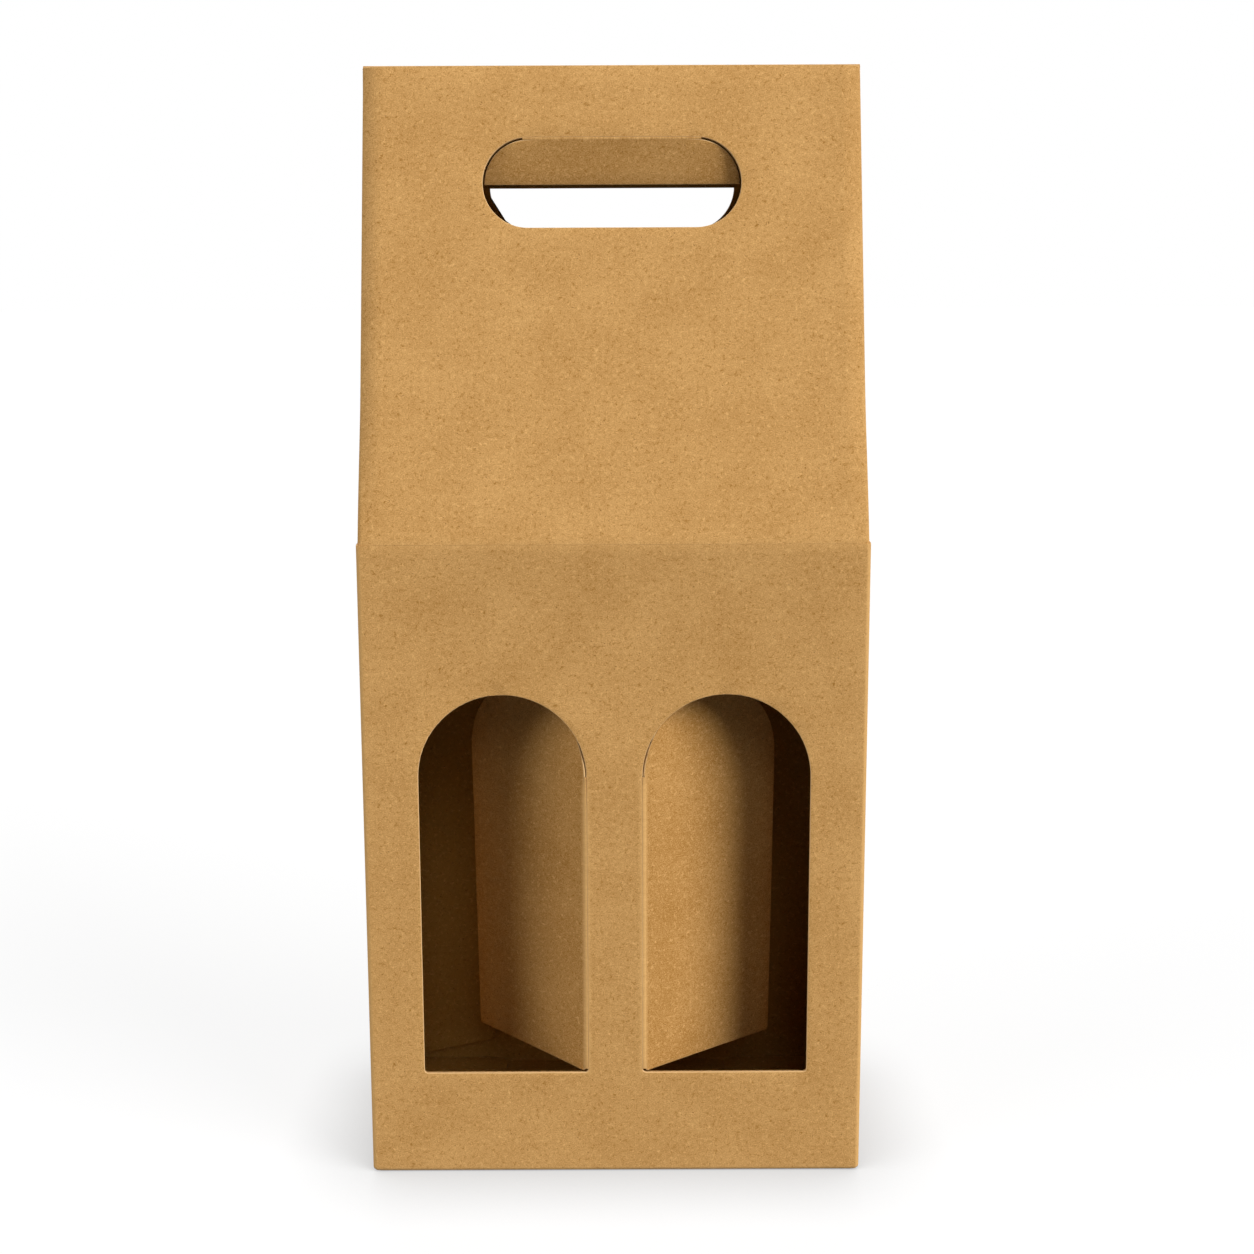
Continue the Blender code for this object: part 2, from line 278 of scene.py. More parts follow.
@dataclass(frozen=True)
class Fold(Bend):
    """Half of a fold that this board shares with its neighbour."""

    turn: float = math.pi / 2
    radius: float = SIZES.fold_radius
    strain_lead: float = 0.3
    strain_turn: float = math.radians(80)
    steps: int = 8

    @property
    def start(self) -> float:
        """Where the arc begins."""
        return -self.radius * math.tan(self.turn / 2)

    @property
    def length(self) -> float:
        """Length of this board's half of the arc."""
        return self.radius * self.turn / 2

    def stations(self) -> list[float]:
        """Distances at which the arc is divided."""
        return [self.start + self.length * step / self.steps for step in range(self.steps)]

    def end(self) -> float:
        """Distance of the middle of the fold."""
        return self.start + self.length - HAIRLINE

    def place(self, spot: Vector) -> Vector:
        """Carry a spot round the arc."""
        return self.settle(spot, self.start, [Arc(self.length, self.turn / 2)])

    def stretch(self, spot: Vector) -> float:
        """The outer liner is stretched along the arc, more on a tighter fold."""
        begin = self.start - self.strain_lead * self.length
        return ramp(self.past(spot), begin, self.start + self.length) * min(1.0, self.turn / self.strain_turn)


@dataclass(frozen=True)
class StraightCut(Bend):
    """Start of a moving board beside its crease strip, where the board stays flat."""

    def end(self) -> float:
        """The board ends on the line."""
        return 0.0


@dataclass(frozen=True)
class Joggle(Bend):
    """Step by which a bottom flap climbs over the one outside it."""

    height: float
    length: float
    soft: float = 0.2
    steps: int = 8

    def stations(self) -> list[float]:
        """Distances at which the slope is divided."""
        return [self.length * step / self.steps for step in range(self.steps + 1)]

    def place(self, spot: Vector) -> Vector:
        """Lift a spot inwards along the slope, rounded at both ends.

        Args:
            spot: A place on the flat board.

        Returns:
            Where the spot goes.
        """
        share = min(1.0, max(0.0, self.past(spot) / self.length))
        soft = self.soft
        if share < soft:
            lift = share * share / (2 * soft)
        elif share > 1 - soft:
            lift = 1 - soft - (1 - share) ** 2 / (2 * soft)
        else:
            lift = share - soft / 2
        return spot - Vector((0, 0, self.height * lift / (1 - soft)))


@dataclass(frozen=True)
class SideRoll(Bend):
    """Side of a leaning panel, which bows back gently and then rolls tightly into the gusset's fold.

    The bow grows up the panel. Above the gusset the roll opens, and the board's cut side flares out.
    """

    bow: float = math.radians(33)
    turn: float = math.radians(80)
    length: float = 8.8 * MM
    radius: float = SIZES.fold_radius
    foot_bow: float = 0.1
    bow_from: float = -5 * MM
    bow_to: float = 55 * MM
    opening: float = 1.0
    open_from: float = 168 * MM
    open_to: float = 173 * MM
    strain: float = 0.4
    steps: int = 9

    @property
    def start(self) -> float:
        """Where the bow begins, so that the rolled side is as wide as the panel."""
        gentle = self.length - self.radius * (self.turn - self.bow)
        return -(gentle / self.bow * math.sin(self.bow) + self.radius * (1 - math.sin(self.bow)))

    def arcs(self, along: float) -> list[Arc]:
        """The section's arcs at this height up the panel.

        Args:
            along: Height up the panel.

        Returns:
            The gentle arc and the tight one.
        """
        closed = 1 - self.opening * ramp(along, self.open_from, self.open_to)
        bow = self.bow * (self.foot_bow + (1 - self.foot_bow) * ramp(along, self.bow_from, self.bow_to))
        tight = self.turn - bow
        gentle = self.length - self.radius * tight
        return [Arc(gentle, bow * closed), Arc(self.radius * tight, tight * closed)]

    def stations(self) -> list[float]:
        """Distances at which the bow and the tight part are divided.

        Returns:
            The distances.
        """
        tight = self.radius * self.turn
        gentle = self.length - tight
        bow = [self.start + gentle * step / self.steps for step in range(self.steps)]
        return bow + [self.start + gentle + tight * step / self.steps for step in range(self.steps)]

    def end(self) -> float:
        """Distance of the board's end, where the gusset wing goes on."""
        return self.start + self.length - HAIRLINE

    def place(self, spot: Vector) -> Vector:
        """Carry a spot round the bow and the roll."""
        return self.settle(spot, self.start, self.arcs(spot.y))

    def stretch(self, spot: Vector) -> float:
        """Only the tight part is stretched."""
        share = ramp(self.past(spot), self.end() - self.radius * self.turn, self.end())
        return self.strain * share * (1 - ramp(spot.y, self.open_from, self.open_to))


@dataclass(frozen=True)
class Hollow(Bend):
    """Shallow inward bow of the front panel below the shoulder, steepest at the shoulder itself."""

    depth: float = 1.1 * MM
    low: float = 140 * MM
    middle: float = 188 * MM
    high: float = SIZES.shoulder
    half_width: float = SIZES.width / 2
    calm: float = 2 * MM
    fade: float = 40 * MM

    def place(self, spot: Vector) -> Vector:
        """Press a spot inwards.

        Args:
            spot: A place on the flat board.

        Returns:
            Where the spot goes.
        """
        share = ramp(spot.y, self.low, self.middle)
        if spot.y > self.middle:
            share = max(0.0, 1 - ((spot.y - self.middle) / (self.high - self.middle)) ** 2)
        share *= ramp(self.half_width - abs(spot.x), self.calm, self.fade)
        return spot - Vector((0, 0, self.depth * share))


@dataclass(frozen=True)
class CreaseEnd(Bend):
    """Flap edge beside the upper end of its crease, where the cut edges stay close together."""

    crease_end: float
    pull: float
    width: float = 5 * MM
    fade: float = 16 * MM

    def place(self, spot: Vector) -> Vector:
        """Draw a spot towards the crease.

        Args:
            spot: A place on the flat board.

        Returns:
            Where the spot goes.
        """
        share = 1 - ramp(-self.past(spot), 0, self.width)
        share *= ramp(spot.y, self.crease_end - MM, self.crease_end)
        share *= 1 - ramp(spot.y, self.crease_end, self.crease_end + self.fade)
        return spot + Vector((*self.outward, 0)) * (self.pull * share)


@dataclass(frozen=True)
class FlapTwist(Bend):
    """Slight twist and curl of a window flap towards its free lower corner."""

    twist: float
    width: float
    middle: float = 110 * MM
    curl: float = 0.9 * MM

    def place(self, spot: Vector) -> Vector:
        """Swing the free edge out or in with the height, and curl the flap a little.

        Args:
            spot: A place on the flat board.

        Returns:
            Where the spot goes.
        """
        share = max(0.0, self.past(spot)) / self.width
        swing = (spot.y - self.middle) * self.twist * share * share
        return spot + Vector((0, 0, swing - 2 * self.curl * share * (1 - share)))


@dataclass(frozen=True)
class SoftLine(Bend):
    """A crease that only pales the board beside it, between two heights."""

    low: float
    high: float
    reach: float
    strain: float = 0.75

    def stations(self) -> list[float]:
        """Distances at which the board is divided beside the crease."""
        return [-self.reach, -self.reach / 2]

    def stretch(self, spot: Vector) -> float:
        """The liner is strained close to the crease.

        Args:
            spot: A place on the flat board.

        Returns:
            The strain, from 0 to 1.
        """
        inside = ramp(spot.y, self.low - MM, self.low) * (1 - ramp(spot.y, self.high, self.high + MM))
        if self.past(spot) >= MM:
            return 0.0
        return self.strain * inside * ramp(self.past(spot), -self.reach, 0)


# Material


class Wire:
    """An output socket that takes part in arithmetic on numbers."""

    def __init__(self, shader: "Shader", socket: bpy.types.NodeSocket) -> None:
        """Keep the shader that the socket belongs to."""
        self.shader = shader
        self.socket = socket

    def _math(self, operation: str, first: object, second: object = 0.0) -> "Wire":
        """Add a Math node on two values or wires."""
        return self.shader.node("ShaderNodeMath", {"operation": operation}, {0: first, 1: second})

    def __add__(self, other: object) -> "Wire":
        """Sum."""
        return self._math("ADD", self, other)

    __radd__ = __add__

    def __sub__(self, other: object) -> "Wire":
        """Difference."""
        return self._math("SUBTRACT", self, other)

    def __rsub__(self, other: object) -> "Wire":
        """Difference from a plain number."""
        return self._math("SUBTRACT", other, self)

    def __mul__(self, other: object) -> "Wire":
        """Product."""
        return self._math("MULTIPLY", self, other)

    __rmul__ = __mul__

    def __abs__(self) -> "Wire":
        """Absolute value."""
        return self._math("ABSOLUTE", self)

    def sine(self) -> "Wire":
        """Sine of an angle in radians."""
        return self._math("SINE", self)

    def step(self, start: float, end: float) -> "Wire":
        """Rise smoothly from 0 at start to 1 at end. The ends may be given falling.

        Args:
            start: Value at which the step begins.
            end: Value at which it is complete.

        Returns:
            The step as a wire.
        """
        settings = {"interpolation_type": "SMOOTHSTEP"}
        low, high, first, last = (start, end, 0, 1) if start < end else (end, start, 1, 0)
        inputs = {"Value": self, "From Min": low, "From Max": high, "To Min": first, "To Max": last}
        return self.shader.node("ShaderNodeMapRange", settings, inputs)


class Shader:
    """The nodes of one material, or of the world."""

    def __init__(self, owner: bpy.types.Material | bpy.types.World) -> None:
        """Empty the nodes of a material or a world.

        Args:
            owner: The material or world.
        """
        self.owner = owner
        owner.use_nodes = True
        self.tree = owner.node_tree
        self.tree.nodes.clear()

    def node(self, kind: str, settings: dict, inputs: dict, output: int | str = 0) -> Wire | None:
        """Add a node.

        Args:
            kind: The node's type.
            settings: Its properties, which are set first.
            inputs: Values or wires for its sockets, by name or by number.
            output: The output to hand back.

        Returns:
            The chosen output as a wire, or None where the node has no output.
        """
        made = self.tree.nodes.new(kind)
        for name, value in settings.items():
            setattr(made, name, value)
        for key, value in inputs.items():
            if isinstance(value, Wire):
                self.tree.links.new(value.socket, made.inputs[key])
            else:
                made.inputs[key].default_value = value
        return Wire(self, made.outputs[output]) if len(made.outputs) else None

    def attribute(self, name: str, output: str = "Vector") -> Wire:
        """Read an attribute of the mesh."""
        return self.node("ShaderNodeAttribute", {"attribute_name": name}, {}, output)

    def scaled(self, vector: Wire, scale: tuple, turn: float = 0.0, shift: tuple = (0, 0, 0)) -> Wire:
        """Turn a pattern's coordinates about Z and then scale them.

        Args:
            vector: The coordinates.
            scale: Factor for each axis.
            turn: Angle about Z.
            shift: How far they are moved after the turn.

        Returns:
            The new coordinates.
        """
        inputs = {"Vector": vector, "Rotation": (0, 0, turn), "Location": shift}
        turned = self.node("ShaderNodeMapping", {}, inputs)
        return self.node("ShaderNodeVectorMath", {"operation": "MULTIPLY"}, {0: turned, 1: scale})

    def noise(self, vector: Wire, scale: float = 1.0, detail: float = 2.0, roughness: float = 0.5) -> Wire:
        """Smooth noise about 0.5."""
        inputs = {"Vector": vector, "Scale": scale, "Detail": detail, "Roughness": roughness}
        return self.node("ShaderNodeTexNoise", {}, inputs, "Fac")

    def mix(self, share: object, first: object, second: object) -> Wire:
        """Mix two colours."""
        inputs = {0: share, 6: colour(first), 7: colour(second)}
        return self.node("ShaderNodeMix", {"data_type": "RGBA"}, inputs, 2)

    def split(self, vector: Wire) -> list[Wire]:
        """The three numbers of a vector."""
        made = self.node("ShaderNodeSeparateXYZ", {}, {0: vector}).socket.node
        return [Wire(self, socket) for socket in made.outputs]

    def rays(self, *kinds: str) -> list[Wire]:
        """Whether a ray is of each of these kinds, 0 or 1."""
        return [self.node("ShaderNodeLightPath", {}, {}, f"Is {kind} Ray") for kind in kinds]

    def output(self, shader: Wire, kind: str = "Material") -> bpy.types.Material | bpy.types.World:
        """Send a shader to the surface and hand back what it colours."""
        self.node(f"ShaderNodeOutput{kind}", {}, {"Surface": shader})
        return self.owner


def colour(value: object) -> object:
    """Give a plain colour its alpha, and leave a wire as it is."""
    return value if isinstance(value, Wire) else (*value, 1.0)


@dataclass(frozen=True)
class Mottle:
    """One scale of the paper's unevenness: its size in millimetres and how strong it is."""

    size: float
    strength: float
    detail: float = 3
    roughness: float = 0.55
    stretch: tuple = (1, 1, 1)
    shift: tuple = (0, 0, 0)

    def pattern(self, made: Shader, place: Wire) -> Wire:
        """Noise of this size over the sheet, about 0.5."""
        spread = made.scaled(place, self.stretch, shift=self.shift)
        return made.noise(spread, 1 / self.size, self.detail, self.roughness)


@dataclass(frozen=True)
class KraftFinish:
    """Uncoated kraft liner, with its fibres, and the fluted paper inside that shows on the cut edges.

    Lengths are in millimetres of the flat sheet, and bump_height in metres. A pair gives the two levels
    between which a pattern sets in, those of the inside and of the medium as shares of their thickness.
    fibre_lays holds the directions of the fibres in radians, each with a shift of its pattern. wear holds how
    strongly strained paper pales everywhere and how much more in places. tooth is the unevenness that can be
    felt, and relief holds how far the pale fibres stand out of it and the dark ones lie in it.
    """

    base: tuple = (0.535, 0.290, 0.092)
    dark: tuple = (0.310, 0.138, 0.024)
    pale: tuple = (0.760, 0.455, 0.176)
    # The inner liner's darker brown is partly the paper's own colour and partly painted shade of the carton's
    # inside.
    inner: tuple = (0.385, 0.220, 0.040)
    inner_liner_and_shade_share: float = 0.7
    inner_levels: tuple = (-0.9, -0.97)
    speck: tuple = (0.140, 0.058, 0.012)
    strained: tuple = (0.680, 0.400, 0.150)
    cut_paper: tuple = (0.460, 0.250, 0.085)
    # Rounded cut rims: the crushed liner's paler colour plus a painted highlight that keeps the rim pale
    # where it turns away from the light.
    rim_and_highlight: tuple = (0.820, 0.570, 0.290)
    rim_and_highlight_share: float = 0.55
    flute_shade: tuple = (0.210, 0.105, 0.030)
    # Painted shade on the folded flaps: their tone is pulled towards the dark colour by this share for each
    # unit of the flap attribute.
    flap_depth: float = 0.17
    clouds: Mottle = Mottle(26, 0.42)
    blotches: Mottle = Mottle(3.4, 0.24, stretch=(1, 1.5, 1), shift=(31, 7, 3))
    grain: Mottle = Mottle(0.43, 1.20, detail=2, roughness=0.6, shift=(5, 63, 9))
    tooth: Mottle = Mottle(1.0, 0.5, roughness=0.6, stretch=(1.6, 1.1, 1.6))
    fibre_length: float = 3.2
    fibre_width: float = 1.15
    fibre_ridge: tuple = (0.060, 0.010)
    fibre_patch: float = 1.5
    fibre_patches: tuple = (0.54, 0.62)
    fibre_lays: tuple = ((0.35, 11.0), (1.25, 47.0), (2.2, 83.0), (2.85, 29.0))
    dark_fibres: float = 0.48
    pale_fibres: float = 0.34
    speck_spacing: float = 2.1
    speck_stretch: tuple = (1, 1.6, 1)
    speck_turn: float = 0.6
    speck_chosen: tuple = (0.76, 0.84)
    speck_edge: tuple = (0.17, 0.08)
    speck_share: float = 0.70
    board: float = SIZES.board / MM
    liner: float = 0.22
    liner_edge: tuple = (-0.08, 0.05)
    medium: float = 0.16
    medium_edge: tuple = (1.6, 0.7)
    flute_pitch: float = 3.2
    ragged_size: float = 0.8
    ragged: tuple = (0.36, 0.62)
    ragged_share: float = 0.55
    wear: tuple = (0.50, 0.60)
    wear_scale: float = 0.9
    relief: tuple = (0.35, 0.3)
    roughness: float = 0.86
    roughness_change: float = 0.08
    roughness_size: float = 2.5
    specular: float = 0.08
    bump: float = 0.26
    bump_height: float = 0.05 * MM

    def material(self) -> bpy.types.Material:
        """Build the material.

        Returns:
            The material of every board and crease strip.
        """
        made = Shader(bpy.data.materials.new("kraft_board"))
        place = made.scaled(made.attribute("sheet"), (1000, 1000, 1000))
        strained, cut, rim_and_highlight = made.split(made.attribute("marks"))
        inside = made.split(place)[2].step(*(self.board * level for level in self.inner_levels))

        # Painted shade: the tone of the folded flaps is pulled towards the dark colour.
        tone = self._tone(made, place) - made.attribute("painted_shade", "Fac") * self.flap_depth
        fibres_dark, fibres_pale = self._fibres(made, place)
        worn = strained * (self.wear[0] + self.wear[1] * made.noise(place, self.wear_scale, 2))
        paper = made.mix(tone, self.dark, self.pale)
        for share, layer in (
            # Inner faces: darker liner colour, partly painted shade of the inside.
            (inside * self.inner_liner_and_shade_share, self.inner),
            (fibres_dark * self.dark_fibres, self.dark),
            (fibres_pale * self.pale_fibres, self.pale),
            (self._specks(made, place) * self.speck_share, self.speck),
            (worn, self.strained),
            (cut, self._cut_edge(made, place)),
            # The rim's pale colour is partly the cut paper and partly a painted highlight.
            (rim_and_highlight * self.rim_and_highlight_share, self.rim_and_highlight),
        ):
            paper = made.mix(share, paper, layer)

        rough = self.tooth.pattern(made, place) * self.tooth.strength
        height = rough + fibres_pale * self.relief[0] - fibres_dark * self.relief[1]
        bump = {"Strength": self.bump, "Distance": self.bump_height, "Height": height}
        polish = made.noise(place, 1 / self.roughness_size, 2) * self.roughness_change
        surface = {
            "Base Color": paper,
            "Roughness": self.roughness - polish,
            "Specular IOR Level": self.specular,
            "Normal": made.node("ShaderNodeBump", {}, bump, "Normal"),
        }
        return made.output(made.node("ShaderNodeBsdfPrincipled", {}, surface))

    def _tone(self, made: Shader, place: Wire) -> Wire:
        """Share of the pale colour: cloudy pulp, small blotches and fine grain about the base colour.

        Args:
            made: The material's nodes.
            place: Place in the flat sheet, in millimetres.

        Returns:
            The share, about 0.5.
        """
        tone = (self.base[1] - self.dark[1]) / (self.pale[1] - self.dark[1])
        for mottle in (self.clouds, self.blotches, self.grain):
            tone = tone + (mottle.pattern(made, place) - 0.5) * mottle.strength
        return tone

    def _fibres(self, made: Shader, place: Wire) -> tuple[Wire, Wire]:
        """Dark and pale fibres that lie in the sheet in many directions.

        Args:
            made: The material's nodes.
            place: Place in the flat sheet, in millimetres.

        Returns:
            Where the dark and the pale fibres are.
        """
        found = []
        for turn, shift in self.fibre_lays:
            scale = (1 / self.fibre_length, 1 / self.fibre_width, 1)
            ridge = abs(made.noise(made.scaled(place, scale, turn, (shift, -shift, 0)), detail=1) - 0.5)
            moved = made.scaled(place, (1, 1, 1), shift=(-shift, shift, 0))
            patch = made.noise(moved, 1 / self.fibre_patch, 1)
            found.append(ridge.step(*self.fibre_ridge) * patch.step(*self.fibre_patches))
        return found[0] + found[2], found[1] + found[3]

    def _specks(self, made: Shader, place: Wire) -> Wire:
        """Small dark flecks of bark, thinly scattered.

        Args:
            made: The material's nodes.
            place: Place in the flat sheet, in millimetres.

        Returns:
            Where the flecks are.
        """
        spread = made.scaled(place, self.speck_stretch, self.speck_turn)
        cells = {"Vector": spread, "Scale": 1 / self.speck_spacing}
        near = made.node("ShaderNodeTexVoronoi", {}, cells, "Distance")
        chosen = made.split(made.node("ShaderNodeTexVoronoi", {}, cells, "Color"))[0]
        return near.step(*self.speck_edge) * chosen.step(*self.speck_chosen)

    def _cut_edge(self, made: Shader, place: Wire) -> Wire:
        """Two liners and the wave between them, crushed and fibrous where the die cut them.

        Args:
            made: The material's nodes.
            place: Place in the flat sheet, in millimetres.

        Returns:
            The colour of the cut edge.
        """
        across, _, depth = made.split(place)
        middle = self.board / 2
        core = middle - self.liner
        from_middle = depth + middle
        wave = (across * (2 * math.pi / self.flute_pitch)).sine() * core
        on_wave = abs(from_middle - wave).step(*(self.medium * share for share in self.medium_edge))
        on_liner = abs(from_middle).step(*(core + edge for edge in self.liner_edge))
        ragged = made.noise(place, 1 / self.ragged_size, 2).step(*self.ragged)
        shade = made.mix(ragged * self.ragged_share, self.flute_shade, self.cut_paper)
        return made.mix((on_wave + on_liner).step(0.0, 1.0), shade, self.cut_paper)


# Boards


@dataclass(frozen=True)
class Blank:
    """Where a board lies in the flat, uncut sheet, so that the paper runs on across the folds."""

    across: float = 0.0
    along: float = 0.0
    across_sign: int = 1
    along_sign: int = 1

    def spot(self, flat: Vector) -> Vector:
        """Place in the sheet of a spot of the flat board, with its depth below the outer face."""
        across = self.across + self.across_sign * flat.x
        return Vector((across, self.along + self.along_sign * flat.y, flat.z))


def new_object(name: str, data: bpy.types.ID) -> bpy.types.Object:
    """Put something into the scene, at the origin.

    Args:
        name: Name of the object.
        data: Its mesh, lamp or camera.

    Returns:
        The object.
    """
    made = bpy.data.objects.new(name, data)
    bpy.context.scene.collection.objects.link(made)
    return made


def bevel(shape: bmesh.types.BMesh, geom: list, offset: float, segments: int, affect: str) -> None:
    """Round corners or edges of a shape.

    Args:
        shape: The mesh.
        geom: The corners or edges to round.
        offset: How far from them the round begins.
        segments: Into how many steps it is divided.
        affect: VERTICES or EDGES.
    """
    bmesh.ops.bevel(
        shape,
        geom=geom,
        offset=offset,
        segments=segments,
        profile=0.5,
        affect=affect,
        material=-1,
        clamp_overlap=False,
    )


def mirrored(right_half: Sequence[Corner]) -> list[Corner]:
    """Complete an outline that is given by its right half."""
    return [*right_half, *((-x, y, radius) for x, y, radius in reversed(right_half))]


@dataclass
class Board:
    """A flat board that is cut out, divided, given its thickness and bent.

    Its own Y runs up the board and its own Z out of the outer face, which is at z = 0.
    """

    name: str
    frame: Matrix
    outline: Sequence[Corner]
    holes: Sequence[Sequence[Corner]] = ()
    bends: Sequence[Bend] = ()
    blank: Blank = Blank()
    spacing: float = 9 * MM
    grid_offset: float = 0.013
    waviness: float = 0.10 * MM
    wave_length: float = 70 * MM
    calm: float = 2 * MM
    fade: float = 22 * MM
    edge_radius: float = 0.24 * MM
    arc_angle: float = math.radians(5)
    round_steps: int = 3
    inner_strain: float = 0.3
    # How strongly painted shade darkens this board's tone; set only on the folded flaps.
    painted_shade: float = 0.0

    def build(self) -> bpy.types.Object:
        """Make the board's mesh, in place.

        Returns:
            The object, at the origin.
        """
        shape = bmesh.new()
        for corners in (self.outline, *self.holes):
            self._draw(shape, corners)
        bmesh.ops.remove_doubles(shape, verts=shape.verts, dist=TINY)
        bmesh.ops.delete(shape, geom=shape.faces[:], context="FACES_ONLY")
        bmesh.ops.triangle_fill(shape, edges=shape.edges[:], use_beauty=True, normal=(0, 0, 1))
        self._divide(shape)
        bmesh.ops.recalc_face_normals(shape, faces=shape.faces)
        bmesh.ops.solidify(shape, geom=shape.faces[:], thickness=SIZES.board)
        top = max(vertex.co.z for vertex in shape.verts)
        bmesh.ops.translate(shape, verts=shape.verts, vec=(0, 0, -top))
        bmesh.ops.recalc_face_normals(shape, faces=shape.faces)
        self._soften_cuts(shape)
        return self._finish(shape)

    def _draw(self, shape: bmesh.types.BMesh, corners: Sequence[Corner]) -> None:
        """Draw one closed outline and round its corners.

        Args:
            shape: The board's mesh.
            corners: Place and rounding of each corner.
        """
        verts = [shape.verts.new((x, y, 0)) for x, y, _ in corners]
        shape.faces.new(verts)
        for vertex, (_, _, radius) in zip(verts, corners):
            if radius <= 0:
                continue
            before, after = ((edge.other_vert(vertex).co - vertex.co) for edge in vertex.link_edges)
            opening = before.angle(after)
            segments = max(self.round_steps, math.ceil((math.pi - opening) / self.arc_angle))
            bevel(shape, [vertex], radius / math.tan(opening / 2), segments, "VERTICES")

    def _divide(self, shape: bmesh.types.BMesh) -> None:
        """Trim the board at its folds and divide it into cells that can bend.

        Args:
            shape: The board's mesh.
        """
        for bend in self.bends:
            if bend.end() is not None:
                self._cut(shape, bend.line(bend.end()), True)
        kept = shape.edges.layers.int.new("kept")
        lines = [bend.line(distance) for bend in self.bends for distance in bend.stations()]
        lines += self._grid(shape)
        for line in lines:
            for edge in self._cut(shape, line, False):
                edge[kept] = 1
        loose = [edge for edge in shape.edges if len(edge.link_faces) == 2 and not edge[kept]]
        bmesh.ops.dissolve_edges(shape, edges=loose, use_verts=False)

    def _grid(self, shape: bmesh.types.BMesh) -> list[Line]:
        """Evenly spaced lines both ways, a little beside the places where corners are.

        Args:
            shape: The board's mesh.

        Returns:
            The lines.
        """
        lines = []
        for axis, normal in enumerate((RIGHT, BACK)):
            places = [vertex.co[axis] for vertex in shape.verts]
            low, high = min(places), max(places)
            count = max(1, round((high - low) / self.spacing))
            for step in range(1, count):
                lines.append((normal * (low + (high - low) * (step + self.grid_offset) / count), normal))
        return lines

    @staticmethod
    def _cut(shape: bmesh.types.BMesh, line: Line, trim: bool) -> list[bmesh.types.BMEdge]:
        """Cut the flat board along a line, and clear what is beyond it when trimming.

        Args:
            shape: The board's mesh.
            line: A point of the line and its normal.
            trim: Whether to clear what is beyond the line.

        Returns:
            The edges that lie on the line.
        """
        cut = bmesh.ops.bisect_plane(
            shape,
            geom=shape.verts[:] + shape.edges[:] + shape.faces[:],
            plane_co=line[0],
            plane_no=line[1],
            dist=TINY,
            clear_outer=trim,
        )
        return [item for item in cut["geom_cut"] if isinstance(item, bmesh.types.BMEdge)]

    def _soften_cuts(self, shape: bmesh.types.BMesh) -> None:
        """Round the rims that the die cut, and leave the ends at the folds sharp.

        Args:
            shape: The board's mesh.
        """
        rims = []
        for edge in shape.edges:
            if len(edge.link_faces) != 2:
                continue
            first, second = (abs(face.normal.z) for face in edge.link_faces)
            if (first > 0.5) != (second > 0.5) and not self._at_fold(edge):
                rims.append(edge)
        bevel(shape, rims, self.edge_radius, self.round_steps, "EDGES")

    def _at_fold(self, edge: bmesh.types.BMEdge) -> bool:
        """Whether an edge lies where the board goes on as its neighbour.

        Args:
            edge: An edge of the mesh.

        Returns:
            True at a fold or a crease.
        """
        for bend in self.bends:
            end = bend.end()
            if end is not None and all(abs(bend.past(v.co) - end) < 2 * TINY for v in edge.verts):
                return True
        return False

    def _wave(self, spot: Vector) -> float:
        """Slight unevenness of the board, still at its folds.

        Args:
            spot: A place on the flat board.

        Returns:
            How far the board is lifted there.
        """
        calm = 1.0
        for bend in self.bends:
            if isinstance(bend, (Fold, StraightCut, SideRoll)):
                calm *= ramp(-bend.past(spot), self.calm, self.fade)
        place = self.blank.spot(spot) / self.wave_length
        return self.waviness * calm * noise.noise(Vector((place.x, place.y, 0.5)))

    def _finish(self, shape: bmesh.types.BMesh) -> bpy.types.Object:
        """Store where each vertex lies in the sheet, bend the board and put it in place.

        Args:
            shape: The board's mesh.

        Returns:
            The object, at the origin.
        """
        sheet, marks = [], []
        for vertex in shape.verts:
            flat = vertex.co.copy()
            sheet.append(self.blank.spot(flat))
            stretch = max((bend.stretch(flat) for bend in self.bends), default=0.0)
            if flat.z <= -0.5 * SIZES.board:
                stretch *= self.inner_strain
            skin = min(-flat.z, SIZES.board + flat.z)
            # The third mark is the rounded rim, which is given a pale colour with a painted highlight.
            marks.append((stretch, float(skin > TINY), float(TINY < -flat.z < self.edge_radius)))
            spot = flat + Vector((0, 0, self._wave(flat)))
            for bend in self.bends:
                spot = bend.place(spot)
            vertex.co = self.frame @ spot
        piece = make_object(self.name, shape, sheet, marks)
        # Painted shade of the folded flaps, stored as a vertex attribute for the material.
        if self.painted_shade:
            attribute = piece.data.attributes.new("painted_shade", "FLOAT", "POINT")
            attribute.data.foreach_set("value", [self.painted_shade] * len(piece.data.vertices))
        return piece


def make_object(
    name: str, shape: bmesh.types.BMesh, sheet: Sequence[Vector], marks: Sequence[tuple]
) -> bpy.types.Object:
    """Turn a finished shape into an object with its paper attributes.

    Args:
        name: Name of the piece.
        shape: The shape, which is freed.
        sheet: For each vertex, its place in the flat sheet and its depth.
        marks: For each vertex, how strained and how freshly cut the paper is, and whether it is on the
            rounded rim, which gets the paper's paler cut edge plus a painted highlight.

    Returns:
        The object, at the origin.
    """
    mesh = bpy.data.meshes.new(name)
    for face in shape.faces:
        face.smooth = True
    shape.to_mesh(mesh)
    shape.free()
    for label, values in (("sheet", sheet), ("marks", marks)):
        attribute = mesh.attributes.new(label, "FLOAT_VECTOR", "POINT")
        attribute.data.foreach_set("vector", [number for value in values for number in value])
    mesh.set_sharp_from_angle(angle=SHARP_ANGLE)
    return new_object(name, mesh)


